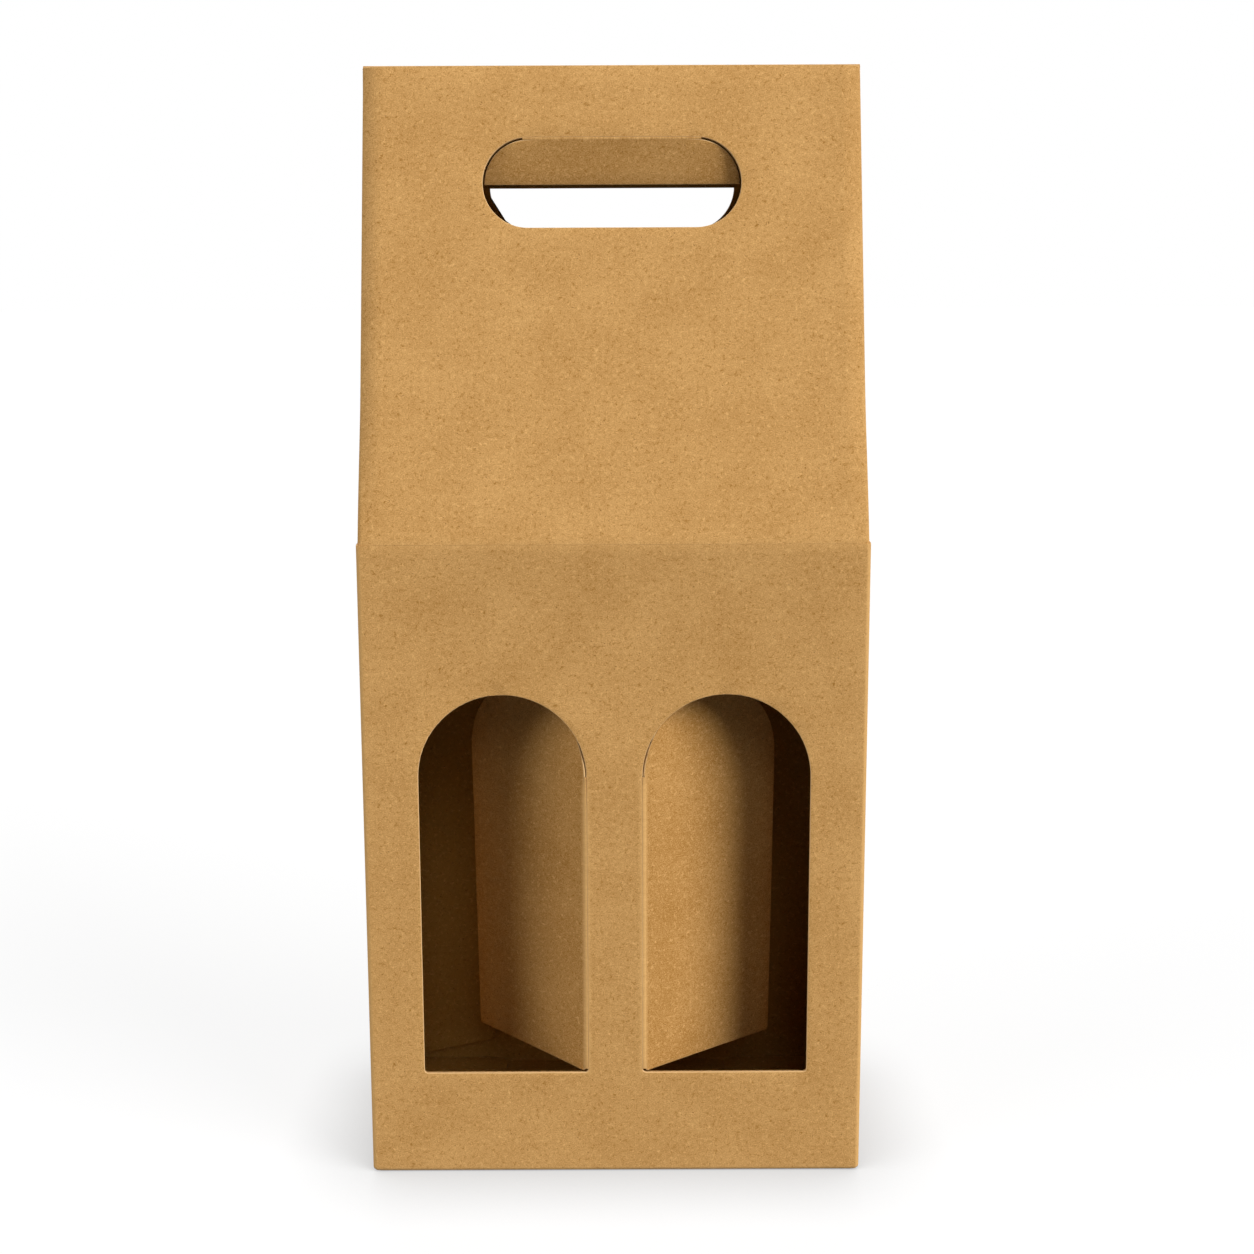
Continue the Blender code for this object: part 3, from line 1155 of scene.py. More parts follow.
@dataclass
class CreaseStrip:
    """Strip of creased board that turns round a crease between two bodies.

    centre is on the axis of the strip's arc. start points from it to the outer face where the strip begins.
    """

    name: str
    bodies: tuple[Body, Body]
    centre: Vector
    axis: Vector
    start: Vector
    turn: float
    reach: tuple[float, float]
    across_crease: tuple[float, float]
    blank: Callable[[float, float, float], Vector]
    inner: float = PIVOT_CORE
    soft_span: tuple[float, float] = (0.0, 1.0)
    strained: float = 0.85
    cut_end: float = 0.4
    spacing: float = 6 * MM
    steps: int = 14

    def build(self) -> bpy.types.Object:
        """Spin the strip's end round its axis.

        Returns:
            The object, at the origin.
        """
        shape = bmesh.new()
        radial = self.start.normalized()
        outer = self.start.length
        low, high = self.reach
        divisions = max(2, round((high - low) / self.spacing))
        bmesh.ops.create_grid(shape, x_segments=divisions, y_segments=1, size=0.5)
        for vertex in shape.verts:
            along = low + (high - low) * (vertex.co.x + 0.5)
            away = self.inner + (outer - self.inner) * (vertex.co.y + 0.5)
            vertex.co = self.centre + self.axis * along + radial * away
        bmesh.ops.spin(
            shape,
            geom=shape.verts[:] + shape.edges[:] + shape.faces[:],
            cent=self.centre,
            axis=self.axis,
            angle=self.turn,
            steps=self.steps,
            use_duplicate=False,
        )
        bmesh.ops.remove_doubles(shape, verts=shape.verts, dist=TINY)
        bmesh.ops.recalc_face_normals(shape, faces=shape.faces)
        sheet, marks = [], []
        sideways = self.axis.cross(radial)
        for vertex in shape.verts:
            arm = vertex.co - self.centre
            along = arm.dot(self.axis)
            arm -= self.axis * along
            share = math.atan2(arm.dot(sideways), arm.dot(radial)) / self.turn
            begin, finish = self.across_crease
            sheet.append(self.blank(along, begin + (finish - begin) * share, arm.length - outer))
            outside = arm.length > (self.inner + outer) / 2
            at_end = min(abs(along - low), abs(along - high)) < TINY
            marks.append((self.strained if outside else 0.0, self.cut_end * at_end, 0.0))
        return make_object(self.name, shape, sheet, marks)

    def ends(self) -> tuple[Vector, Vector]:
        """The points between which the strip turns from one body to the other.

        Returns:
            The first point and the last.
        """
        first = self.centre + self.start
        last = self.centre + Matrix.Rotation(self.turn, 3, self.axis) @ self.start
        near, far = self.soft_span
        return first.lerp(last, near), first.lerp(last, far)


@dataclass
class Workshop:
    """Dresses finished pieces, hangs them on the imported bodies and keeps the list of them."""

    finish: bpy.types.Material
    made: list[str] = field(default_factory=list)

    def fit(self, piece: bpy.types.Object, body: Body, node: str) -> None:
        """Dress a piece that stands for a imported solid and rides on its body.

        Args:
            piece: The finished piece.
            body: The body on which it rides.
            node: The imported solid's node.
        """
        self._dress(piece)
        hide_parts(node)
        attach(piece, body.value)

    def bridge(self, strip: CreaseStrip) -> None:
        """Build and dress a crease strip, and bake its transform into its mesh.

        Args:
            strip: The crease strip.
        """
        piece = strip.build()
        self._dress(piece)
        start, end = strip.ends()
        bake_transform(piece)

    def _dress(self, piece: bpy.types.Object) -> None:
        """Give a piece its material.

        Args:
            piece: The finished piece.
        """
        piece.data.materials.clear()
        piece.data.materials.append(self.finish)
        self.made.append(piece.name)
        LOG.info("%s: %d faces", piece.name, len(piece.data.polygons))


# Sub-assemblies


@dataclass
class UprightPanels:
    """The four upright panels with the two windows, and the glue tab that closes them."""

    window_width: float = 60 * MM
    sill: float = 39 * MM
    window_top: float = 181 * MM
    sill_corner: float = 1.2 * MM
    post_width: float = 20 * MM
    post_strain_reach: float = 1.8 * MM
    corner_nick: float = 1.6 * MM
    tab_width: float = 38 * MM
    tab_margin: float = 4 * MM
    tab_taper: float = math.radians(11.5)

    def build(self, workshop: Workshop) -> None:
        """Build the panels and the tab.

        Args:
            workshop: Where pieces are dressed and hung.
        """
        half_width, half_depth = SIZES.width / 2, SIZES.depth / 2
        shoulder = Fold((0, SIZES.shoulder), (0, 1), SIZES.lean, SIZES.shoulder_radius)
        front = self._panel("front_panel", -BACK, half_width, half_depth, shoulder, Blank())
        front.holes = [self.window(side) for side in Side]
        front.bends = [Hollow((0, 0), (0, 1)), *front.bends, *(self._post_crease(side) for side in Side)]
        workshop.fit(front.build(), Body.CARTON, "front_panel")
        back = self._panel("back_panel", BACK, half_width, half_depth, shoulder, Blank(3 * half_width))
        workshop.fit(back.build(), Body.CARTON, "back_panel")
        for side in Side:
            crease = Vector((side.value * half_width, 0, SIZES.shoulder))
            rise = (Gusset(side).apex() - crease).normalized()
            shoulder = Fold((0, SIZES.shoulder), (0, 1), UP.angle(rise))
            name = f"{side.name.lower()}_side_panel"
            blank = Blank(side.value * (half_width + half_depth))
            panel = self._panel(name, RIGHT * side.value, half_depth, half_width, shoulder, blank)
            workshop.fit(panel.build(), Body.CARTON, name)
        workshop.fit(self._glue_tab().build(), Body.CARTON, "glue_tab")

    @property
    def spring(self) -> float:
        """Height at which a window's arch begins."""
        return self.window_top - self.window_width / 2

    def window(self, side: Side, clearance: float = 0.0) -> list[Corner]:
        """Outline of one arched window, or of the flap cut out of it when there is a clearance.

        Args:
            side: The left or the right.
            clearance: Gap between the flap and the window's edge.

        Returns:
            The outline's corners.
        """
        near = self.post_width / 2 + (SIZES.gap if clearance else 0)
        far = self.post_width / 2 + self.window_width - clearance
        left, right = sorted((side.value * near, side.value * far))
        radius = (right - left) / 2
        low, high = self.sill + clearance, self.window_top - clearance
        corner = self.sill_corner
        return [(left, low, corner), (right, low, corner), (right, high, radius), (left, high, radius)]

    def _post_crease(self, side: Side) -> SoftLine:
        """Strained paper on the post beside a divider's crease."""
        edge = side.value * self.post_width / 2
        return SoftLine((edge, 0), (side.value, 0), self.sill, self.spring, self.post_strain_reach)

    def _panel(
        self, name: str, out: Vector, half: float, distance: float, shoulder: Fold, blank: Blank
    ) -> Board:
        """An upright panel with a fold on each of its four sides.

        Args:
            name: The panel's name.
            out: Direction out of its outer face.
            half: Half its width.
            distance: How far out from the middle it stands.
            shoulder: The fold at its top.
            blank: Where it lies in the sheet.

        Returns:
            The board.
        """
        height = SIZES.shoulder
        nick = self.corner_nick
        outline = [
            (-half + nick, 0, 0),
            (half - nick, 0, 0),
            (half, nick, 0),
            (half, height, 0),
            (-half, height, 0),
            (-half, nick, 0),
        ]
        bends = [shoulder, Fold((0, 0), (0, -1)), Fold((half, 0), (1, 0)), Fold((-half, 0), (-1, 0))]
        return Board(name + "_board", facing(out * distance, UP, out), outline, (), bends, blank)

    def _glue_tab(self) -> Board:
        """The tab inside the left back corner.

        Returns:
            The board.
        """
        inside = SIZES.board + SIZES.gap
        root = SIZES.width / 2 - inside
        tip = root - self.tab_width
        drop = self.tab_width * math.tan(self.tab_taper)
        low, high = self.tab_margin, SIZES.shoulder - self.tab_margin
        corner = self.sill_corner
        outline = [(tip, low + drop, corner), (root, low, 0), (root, high, 0), (tip, high - drop, corner)]
        place = facing(BACK * (SIZES.depth / 2 - inside), UP, BACK)
        across = -SIZES.width / 2 - SIZES.depth - root
        return Board("glue_tab_board", place, outline, blank=Blank(across))


@dataclass
class Divider:
    """A window cut-out folded inwards on its crease at the post, and the crease."""

    side: Side
    panels: UprightPanels
    fold: float
    pull: float
    twist: float = 0.02
    cut_gap: float = 0.3 * MM
    strain_reach: float = 1.2 * MM
    crease_foot: float = 1.4 * MM
    spacing: float = 6 * MM
    # Painted shade that darkens the flap, which stands inside the window.
    painted_shade: float = 1.1

    def build(self, workshop: Workshop) -> None:
        """Build the flap and the strip that bends at its crease.

        Args:
            workshop: Where pieces are dressed and hung.
        """
        sign, label, panels = self.side.value, self.side.name.lower(), self.panels
        body = Body[f"{self.side.name}_DIVIDER"]
        edge = sign * panels.post_width / 2
        near = sign * (panels.post_width / 2 + SIZES.gap)
        front = Vector((0, -SIZES.depth / 2, 0))
        pivot = front + BACK * SIZES.board
        pivot.x = sign * (panels.post_width + SIZES.gap) / 2
        turn = Matrix.Translation(pivot) @ Matrix.Rotation(sign * self.fold, 4, UP)
        flap = Board(
            name=f"{label}_divider_board",
            frame=turn @ Matrix.Translation(-pivot) @ facing(front, UP, -BACK),
            outline=panels.window(self.side, self.cut_gap),
            bends=[
                StraightCut((near, 0), (-sign, 0)),
                CreaseEnd((near, 0), (-sign, 0), panels.spring, self.pull),
                FlapTwist((near, 0), (sign, 0), self.twist, panels.window_width),
                SoftLine((near, 0), (-sign, 0), panels.sill, panels.spring, self.strain_reach),
            ],
            spacing=self.spacing,
            painted_shade=self.painted_shade,
        )
        workshop.fit(flap.build(), body, f"{label}_divider_flap")

        strip = CreaseStrip(
            name=f"{label}_divider_crease",
            bodies=(Body.CARTON, body),
            centre=pivot,
            axis=UP * sign,
            start=Vector((-sign * SIZES.gap / 2, -SIZES.board, 0)),
            turn=self.fold + 2 * math.atan2(SIZES.gap / 2, SIZES.board),
            reach=tuple(sorted((sign * (panels.sill + self.crease_foot), sign * panels.spring))),
            across_crease=(edge, edge + sign * SIZES.gap),
            blank=lambda along, across, depth: Vector((across, sign * along, depth)),
        )
        workshop.bridge(strip)


@dataclass
class Roof:
    """The two leaning panels with their carrying holes, and the half cut-outs folded in at the holes."""

    hole_width: float = 91 * MM
    hole_height: float = 32 * MM
    hole_drop: float = 26 * MM
    side_allowance: float = 2 * MM
    lid_cover: float = 0.4 * MM
    left_opening: float = 1.0
    right_opening: float = 0.2
    handle_fold: float = math.radians(22)
    handle_spacing: float = 5 * MM
    # Painted shade that darkens the handle flap, which is folded in at the hole.
    handle_deepened: float = 0.8
    cut_gap: float = 0.12 * MM
    crease_overrun: float = 2 * MM
    crease_strain: float = 0.12

    def build(self, workshop: Workshop) -> None:
        """Build both panels, flaps and crease strips.

        Args:
            workshop: Where pieces are dressed and hung.
        """
        for face in Face:
            self._panel(workshop, face)
            self._handle(workshop, face)

    def frame(self, face: Face) -> Matrix:
        """Frame of the leaning panel on this face."""
        shoulder = Vector((0, face.value * SIZES.depth / 2, SIZES.shoulder))
        return facing(shoulder, SIZES.up_slope(face), SIZES.out_slope(face))

    def blank(self, face: Face) -> Blank:
        """Where the panel lies in the sheet."""
        return Blank(0.0 if face is Face.FRONT else 1.5 * SIZES.width, SIZES.shoulder)

    @property
    def hole_top(self) -> float:
        """Distance of the carrying hole's top from the shoulder."""
        return SIZES.slope - self.hole_drop

    def _panel(self, workshop: Workshop, face: Face) -> None:
        """Build one leaning panel.

        Args:
            workshop: Where pieces are dressed and hung.
            face: The front or the back.
        """
        base, top = SIZES.roof_base + self.side_allowance, SIZES.roof_top + self.side_allowance
        bends: list[Bend] = [Fold((0, 0), (0, -1), SIZES.lean, SIZES.shoulder_radius)]
        length = SIZES.slope
        if face is Face.FRONT:
            length -= self.lid_cover / math.cos(SIZES.lean)
        else:
            bends.append(StraightCut((0, length - SIZES.lid_reach - HAIRLINE), (0, 1)))
        for sign in (1, -1):
            bends.append(side_roll(sign, self.left_opening if sign == face.value else self.right_opening))
        outline = [(-base, 0, 0), (base, 0, 0), (top, length, 0), (-top, length, 0)]
        name = f"{face.name.lower()}_roof_panel"
        board = Board(name + "_board", self.frame(face), outline, [self._hole()], bends, self.blank(face))
        workshop.fit(board.build(), Body.CARTON, name)

    def _hole(self) -> list[Corner]:
        """Outline of a carrying hole.

        Returns:
            The outline's corners.
        """
        half, radius = self.hole_width / 2, self.hole_height / 2
        low, high = self.hole_top - self.hole_height, self.hole_top
        return [(-half, low, radius), (half, low, radius), (half, high, radius), (-half, high, radius)]

    def _handle(self, workshop: Workshop, face: Face) -> None:
        """Build the flap that is folded in at the top of a hole, and its crease.

        Args:
            workshop: Where pieces are dressed and hung.
            face: The front or the back.
        """
        label = face.name.lower()
        body = Body[f"{face.name}_HANDLE"]
        half, radius = self.hole_width / 2 - self.cut_gap, self.hole_height / 2 - self.cut_gap
        high = self.hole_top - SIZES.gap
        middle = self.hole_top - self.hole_height / 2
        pivot = Vector((0, self.hole_top - SIZES.gap / 2, -SIZES.board))
        turn = Matrix.Translation(pivot) @ Matrix.Rotation(self.handle_fold, 4, "X")
        flap = Board(
            name=f"{label}_handle_board",
            frame=self.frame(face) @ turn @ Matrix.Translation(-pivot),
            outline=[(-half, middle, 0), (half, middle, 0), (half, high, radius), (-half, high, radius)],
            bends=[StraightCut((0, high), (0, 1))],
            blank=self.blank(face),
            spacing=self.handle_spacing,
            painted_shade=self.handle_deepened,
        )
        workshop.fit(flap.build(), body, f"{label}_handle_flap")

        straight = (self.hole_width - self.hole_height) / 2 + self.crease_overrun
        to_carton = self.frame(face).to_3x3()
        strip = CreaseStrip(
            name=f"{label}_handle_crease",
            bodies=(Body.CARTON, body),
            centre=self.frame(face) @ pivot,
            axis=to_carton @ RIGHT,
            start=to_carton @ Vector((0, SIZES.gap / 2, SIZES.board)),
            turn=self.handle_fold + 2 * math.atan2(SIZES.gap / 2, SIZES.board),
            reach=(-straight, straight),
            across_crease=(self.hole_top, high),
            strained=self.crease_strain,
            blank=lambda along, across, depth: self.blank(face).spot(Vector((along, across, depth))),
        )
        workshop.bridge(strip)


def side_roll(sign: int, opening: float = 0.0) -> SideRoll:
    """Give the roll along one side of a leaning panel.

    Args:
        sign: 1 for the right side and -1 for the left one, seen on the panel's outer face.
        opening: How far the roll opens at the top, from 0 to 1.

    Returns:
        The roll.
    """
    taper = math.atan2(SIZES.side_taper, SIZES.slope)
    return SideRoll((sign * SIZES.roof_base, 0), (sign * math.cos(taper), math.sin(taper)), opening=opening)


@dataclass
class Lid:
    """The top strip hinged on the back leaning panel, its tuck flap, and the two creases."""

    side_clearance: float = 0.1 * MM
    tuck_length: float = 18 * MM
    tuck_clearance: float = 0.9 * MM
    tuck_side_clearance: float = 3 * MM
    tuck_taper: float = 11 * MM
    tuck_corner: float = 5 * MM
    tuck_crease_paper: float = 0.7 * MM
    tuck_crease_strain: float = 0.15
    crease_paper: float = 1.2 * MM
    crease_strain: float = 0.5
    crease_span: tuple[float, float] = (0.3, 0.7)

    def build(self, workshop: Workshop) -> None:
        """Build the strip, the flap and the crease strips.

        Args:
            workshop: Where pieces are dressed and hung.
        """
        back = SIZES.lid_crease()
        front = self.tuck_crease()
        turn = SIZES.lid_turn
        half = SIZES.roof_top - self.side_clearance
        length = back.y - front.y
        mitre = SIZES.board * math.tan(turn / 2)
        sheet_top = SIZES.shoulder + SIZES.slope
        blank = Blank(1.5 * SIZES.width, sheet_top)
        strip = Board(
            name="top_strip_board",
            frame=facing(back, -BACK, UP),
            outline=mirrored([(half, 0, 0), (half, length, 0)]),
            bends=[
                StraightCut((0, SIZES.lid_reach + HAIRLINE), (0, -1)),
                StraightCut((0, length - mitre - HAIRLINE), (0, 1)),
            ],
            blank=blank,
        )
        workshop.fit(strip.build(), Body.LID, "top_strip")

        root = SIZES.roof_top - self.tuck_side_clearance
        tip = root - self.tuck_taper
        tuck_blank = Blank(1.5 * SIZES.width, sheet_top + length, -1, -1)
        tuck = Board(
            name="tuck_flap_board",
            frame=facing(front, SIZES.up_slope(Face.FRONT), SIZES.out_slope(Face.FRONT)),
            outline=mirrored([(tip, -self.tuck_length, self.tuck_corner), (root, 0, 0)]),
            bends=[StraightCut((0, -mitre - HAIRLINE), (0, 1))],
            blank=tuck_blank,
        )
        workshop.fit(tuck.build(), Body.TUCK, "tuck_flap")

        tuck_strip = CreaseStrip(
            name="tuck_crease",
            bodies=(Body.LID, Body.TUCK),
            centre=front + Vector((0, mitre, -SIZES.board)),
            axis=RIGHT,
            start=UP * SIZES.board,
            turn=turn,
            reach=(-half, half),
            across_crease=(-self.tuck_crease_paper, self.tuck_crease_paper),
            strained=self.tuck_crease_strain,
            blank=lambda along, across, depth: tuck_blank.spot(Vector((along, -across, depth))),
        )
        workshop.bridge(tuck_strip)

        arm = SIZES.out_slope(Face.BACK) * SIZES.fold_radius
        lid_strip = CreaseStrip(
            name="lid_crease",
            bodies=(Body.CARTON, Body.LID),
            centre=back - SIZES.up_slope(Face.BACK) * SIZES.lid_reach - arm,
            axis=RIGHT,
            start=arm,
            turn=turn,
            reach=(-half, half),
            inner=SIZES.fold_radius - SIZES.board,
            across_crease=(-self.crease_paper, self.crease_paper),
            blank=lambda along, across, depth: blank.spot(Vector((-along, across, depth))),
            soft_span=self.crease_span,
            strained=self.crease_strain,
        )
        workshop.bridge(lid_strip)

    def tuck_crease(self) -> Vector:
        """Middle of the fold between the top strip and the tuck flap, on the outer faces."""
        inset = (SIZES.board + self.tuck_clearance) / math.cos(SIZES.lean)
        return Vector((0, inset - SIZES.strip_depth / 2, SIZES.height))


@dataclass
class Gusset:
    """The bellows on one side of the roof: a triangle on the side panel and two wings that fold inwards."""

    side: Side
    top_drop: float = 13 * MM
    foot: float = 0.8 * MM
    head: float = 0.1 * MM
    seam: float = 0.7 * MM
    tip_corner: float = 0.8 * MM
    valley_radius: float = 0.4 * MM
    strain: float = 0.7
    columns: tuple[int, int, int] = (10, 8, 5)
    rows: int = 22

    def build(self, workshop: Workshop) -> None:
        """Build the triangle and both wings.

        Args:
            workshop: Where pieces are dressed and hung.
        """
        label = self.side.name.lower()
        workshop.fit(self._triangle().build(), Body.CARTON, f"{label}_gusset_triangle")
        for face in Face:
            node = f"{label}_{face.name.lower()}_gusset_wing"
            workshop.fit(self._wing(node + "_board", face), Body.CARTON, node)

    def edge(self, face: Face) -> tuple[Vector, Vector]:
        """Foot and upward direction of the leaning panel's side edge.

        Args:
            face: The front or the back.

        Returns:
            The foot and the direction.
        """
        sign = self.side.value
        foot = Vector((sign * SIZES.roof_base, face.value * SIZES.depth / 2, SIZES.shoulder))
        head = Vector((sign * SIZES.roof_top, face.value * SIZES.strip_depth / 2, SIZES.height))
        return foot, (head - foot).normalized()

    def centre_fold(self, along: float) -> Vector:
        """Point of the centre fold, half the carton's depth away from the side edge and square to it.

        Args:
            along: Distance up the side edge.

        Returns:
            The point on the outer face.
        """
        sign = self.side.value
        foot, edge = self.edge(Face.FRONT)
        start = foot + edge * along
        inward = (-RIGHT * sign - edge * (-RIGHT * sign).dot(edge)).normalized()
        across = inward.cross(edge) * sign
        width = SIZES.depth / 2
        reach = math.hypot(inward.y, across.y)
        angle = math.asin(-start.y / width / reach) - math.atan2(inward.y, across.y)
        return start + (inward * math.cos(angle) + across * math.sin(angle)) * width

    def apex(self) -> Vector:
        """Top of the triangle that stands on the side panel."""
        return self.centre_fold(SIZES.depth / 2)

    def _triangle(self) -> Board:
        """The triangle between the two diagonal folds.

        Returns:
            The board.
        """
        sign = self.side.value
        crease = Vector((sign * SIZES.width / 2, 0, SIZES.shoulder))
        rise = self.apex() - crease
        up = rise.normalized()
        out = BACK.cross(up) * sign
        base = SIZES.depth / 2 - self.seam
        tip = rise.length * base / (SIZES.depth / 2)
        outline = [(-base, 0, 0), (base, 0, 0), (0, tip, self.tip_corner)]
        blank = Blank(sign * (SIZES.width + SIZES.depth) / 2, SIZES.shoulder)
        bends = [Fold((0, 0), (0, -1), UP.angle(up))]
        name = f"{self.side.name.lower()}_gusset_triangle_board"
        return Board(name, facing(crease, up, out), outline, (), bends, blank, waviness=0)

    def _wing(self, name: str, face: Face) -> bpy.types.Object:
        """A wing that leaves the panel's roll, runs straight across and turns into the centre fold.

        Args:
            name: Name of the piece.
            face: The front or the back.

        Returns:
            The object, at the origin.
        """
        shape = bmesh.new()
        count = sum(self.columns)
        bmesh.ops.create_grid(shape, x_segments=count, y_segments=self.rows, size=0.5)
        bmesh.ops.solidify(shape, geom=shape.faces[:], thickness=1.0)
        top = max(vertex.co.z for vertex in shape.verts)
        foot, edge = self.edge(face)
        sections = {}
        sheet, marks = [], []
        for vertex in shape.verts:
            column = round((vertex.co.x + 0.5) * count)
            row = round((vertex.co.y + 0.5) * self.rows)
            depth = (vertex.co.z - top) * SIZES.board
            if row not in sections:
                sections[row] = self._section(face, row / self.rows, foot, edge)
            section = sections[row]
            distance, share = section.station(column, self.columns)
            vertex.co = section.place(distance, share, depth)
            away = SIZES.width / 2 + share * SIZES.depth / 2
            across = self.side.value * (away if face is Face.FRONT else SIZES.width + SIZES.depth - away)
            sheet.append(Vector((across, SIZES.shoulder + section.along(share), depth)))
            first, _, last = self.columns
            folded = max(1 - column / first, (column - count + last) / last, 0)
            open_edge = row in (0, self.rows) and -SIZES.board < depth < 0
            marks.append((self.strain * folded if depth > -TINY else 0.0, float(open_edge), 0.0))
        bmesh.ops.recalc_face_normals(shape, faces=shape.faces)
        return make_object(name, shape, sheet, marks)

    def _section(self, face: Face, share: float, foot: Vector, edge: Vector) -> "WingSection":
        """Section of a wing at this share of its height.

        Args:
            face: The front or the back.
            share: Height in the wing, from 0 to 1.
            foot: Foot of the side edge.
            edge: Direction up the side edge.

        Returns:
            The section.
        """
        sign = self.side.value
        out = SIZES.out_slope(face)
        sideways = (RIGHT * sign - edge * (RIGHT * sign).dot(edge)).normalized()
        top = SIZES.slope - self.top_drop
        near = self.foot + (top - self.foot) * share
        far = SIZES.depth / 2 + self.head + (top - SIZES.depth / 2 - self.head) * share
        target = self.centre_fold(far)
        return WingSection(foot, edge, sideways, out, near, far, target, face.value, self.valley_radius)


@dataclass
class WingSection:
    """One crossing of a gusset wing, from the leaning panel's roll to the centre fold."""

    foot: Vector
    edge: Vector
    sideways: Vector
    out: Vector
    near: float
    far: float
    target: Vector
    face: int
    valley_radius: float
    trial_step: float = 1 * MM
    trials: int = 3

    def __post_init__(self) -> None:
        """Work out the arcs that carry the wing to the carton's middle, its straight length by trials."""
        roll = side_roll(1)
        arcs = roll.arcs(self.near)
        run, rise, self.start_angle = walk(arcs, roll.length)
        self.x, self.z = roll.start + run, rise
        radius = roll.radius
        sine, cosine = math.sin(self.start_angle), math.cos(self.start_angle)
        centre = Vector((self.x - radius * sine, self.z - radius * cosine))
        aim = self.target - self.foot - self.edge * self.far
        aim = Vector((aim.dot(self.sideways), aim.dot(self.out))) - centre
        straight = math.sqrt(max(aim.length_squared - radius * radius, TINY))
        turned = (math.atan2(radius, straight) - math.atan2(aim.y, aim.x)) % (2 * math.pi)
        self.first = Arc(radius * (turned - self.start_angle), turned - self.start_angle)
        back_turn = turned - math.pi / 2
        self.last = Arc(self.valley_radius * back_turn, -back_turn)
        for _ in range(self.trials):
            here = self._depth_left(straight)
            slope = (self._depth_left(straight + self.trial_step) - here) / self.trial_step
            straight -= here / slope
        self.middle = Arc(straight, 0)

    def _depth_left(self, straight: float) -> float:
        """How far short of the middle plane the outer face ends.

        Args:
            straight: Length of the straight part, which is kept.

        Returns:
            The distance along the carton's depth.
        """
        self.middle = Arc(straight, 0)
        total = self.first.length + straight + self.last.length
        return self.place(total, 1.0, 0.0).y - self.face * HAIRLINE

    def station(self, column: int, columns: tuple[int, int, int]) -> tuple[float, float]:
        """Distance along the outer face of a column, and its share of the wing's width.

        Args:
            column: Number of the column.
            columns: How many each stretch has.

        Returns:
            The distance and the share.
        """
        lengths = (self.first.length, self.middle.length, self.last.length)
        distance, left = 0.0, column
        for count, length in zip(columns, lengths):
            distance += length * min(left, count) / count
            left = max(0, left - count)
        return distance, distance / sum(lengths)

    def along(self, share: float) -> float:
        """Distance up the panel at this share of the wing's width."""
        return self.near + (self.far - self.near) * share

    def place(self, distance: float, share: float, depth: float) -> Vector:
        """Where a spot of the wing goes.

        Args:
            distance: Distance along the outer face.
            share: Share of the wing's width.
            depth: Height over the outer face, below 0 inside the board.

        Returns:
            The place in the carton.
        """
        arcs = [Arc(TINY, self.start_angle), self.first, self.middle, self.last]
        run, rise, heading = walk(arcs, distance + TINY)
        x = self.x + run + depth * math.sin(heading)
        z = self.z + rise + depth * math.cos(heading)
        return self.foot + self.edge * self.along(share) + self.sideways * x + self.out * z


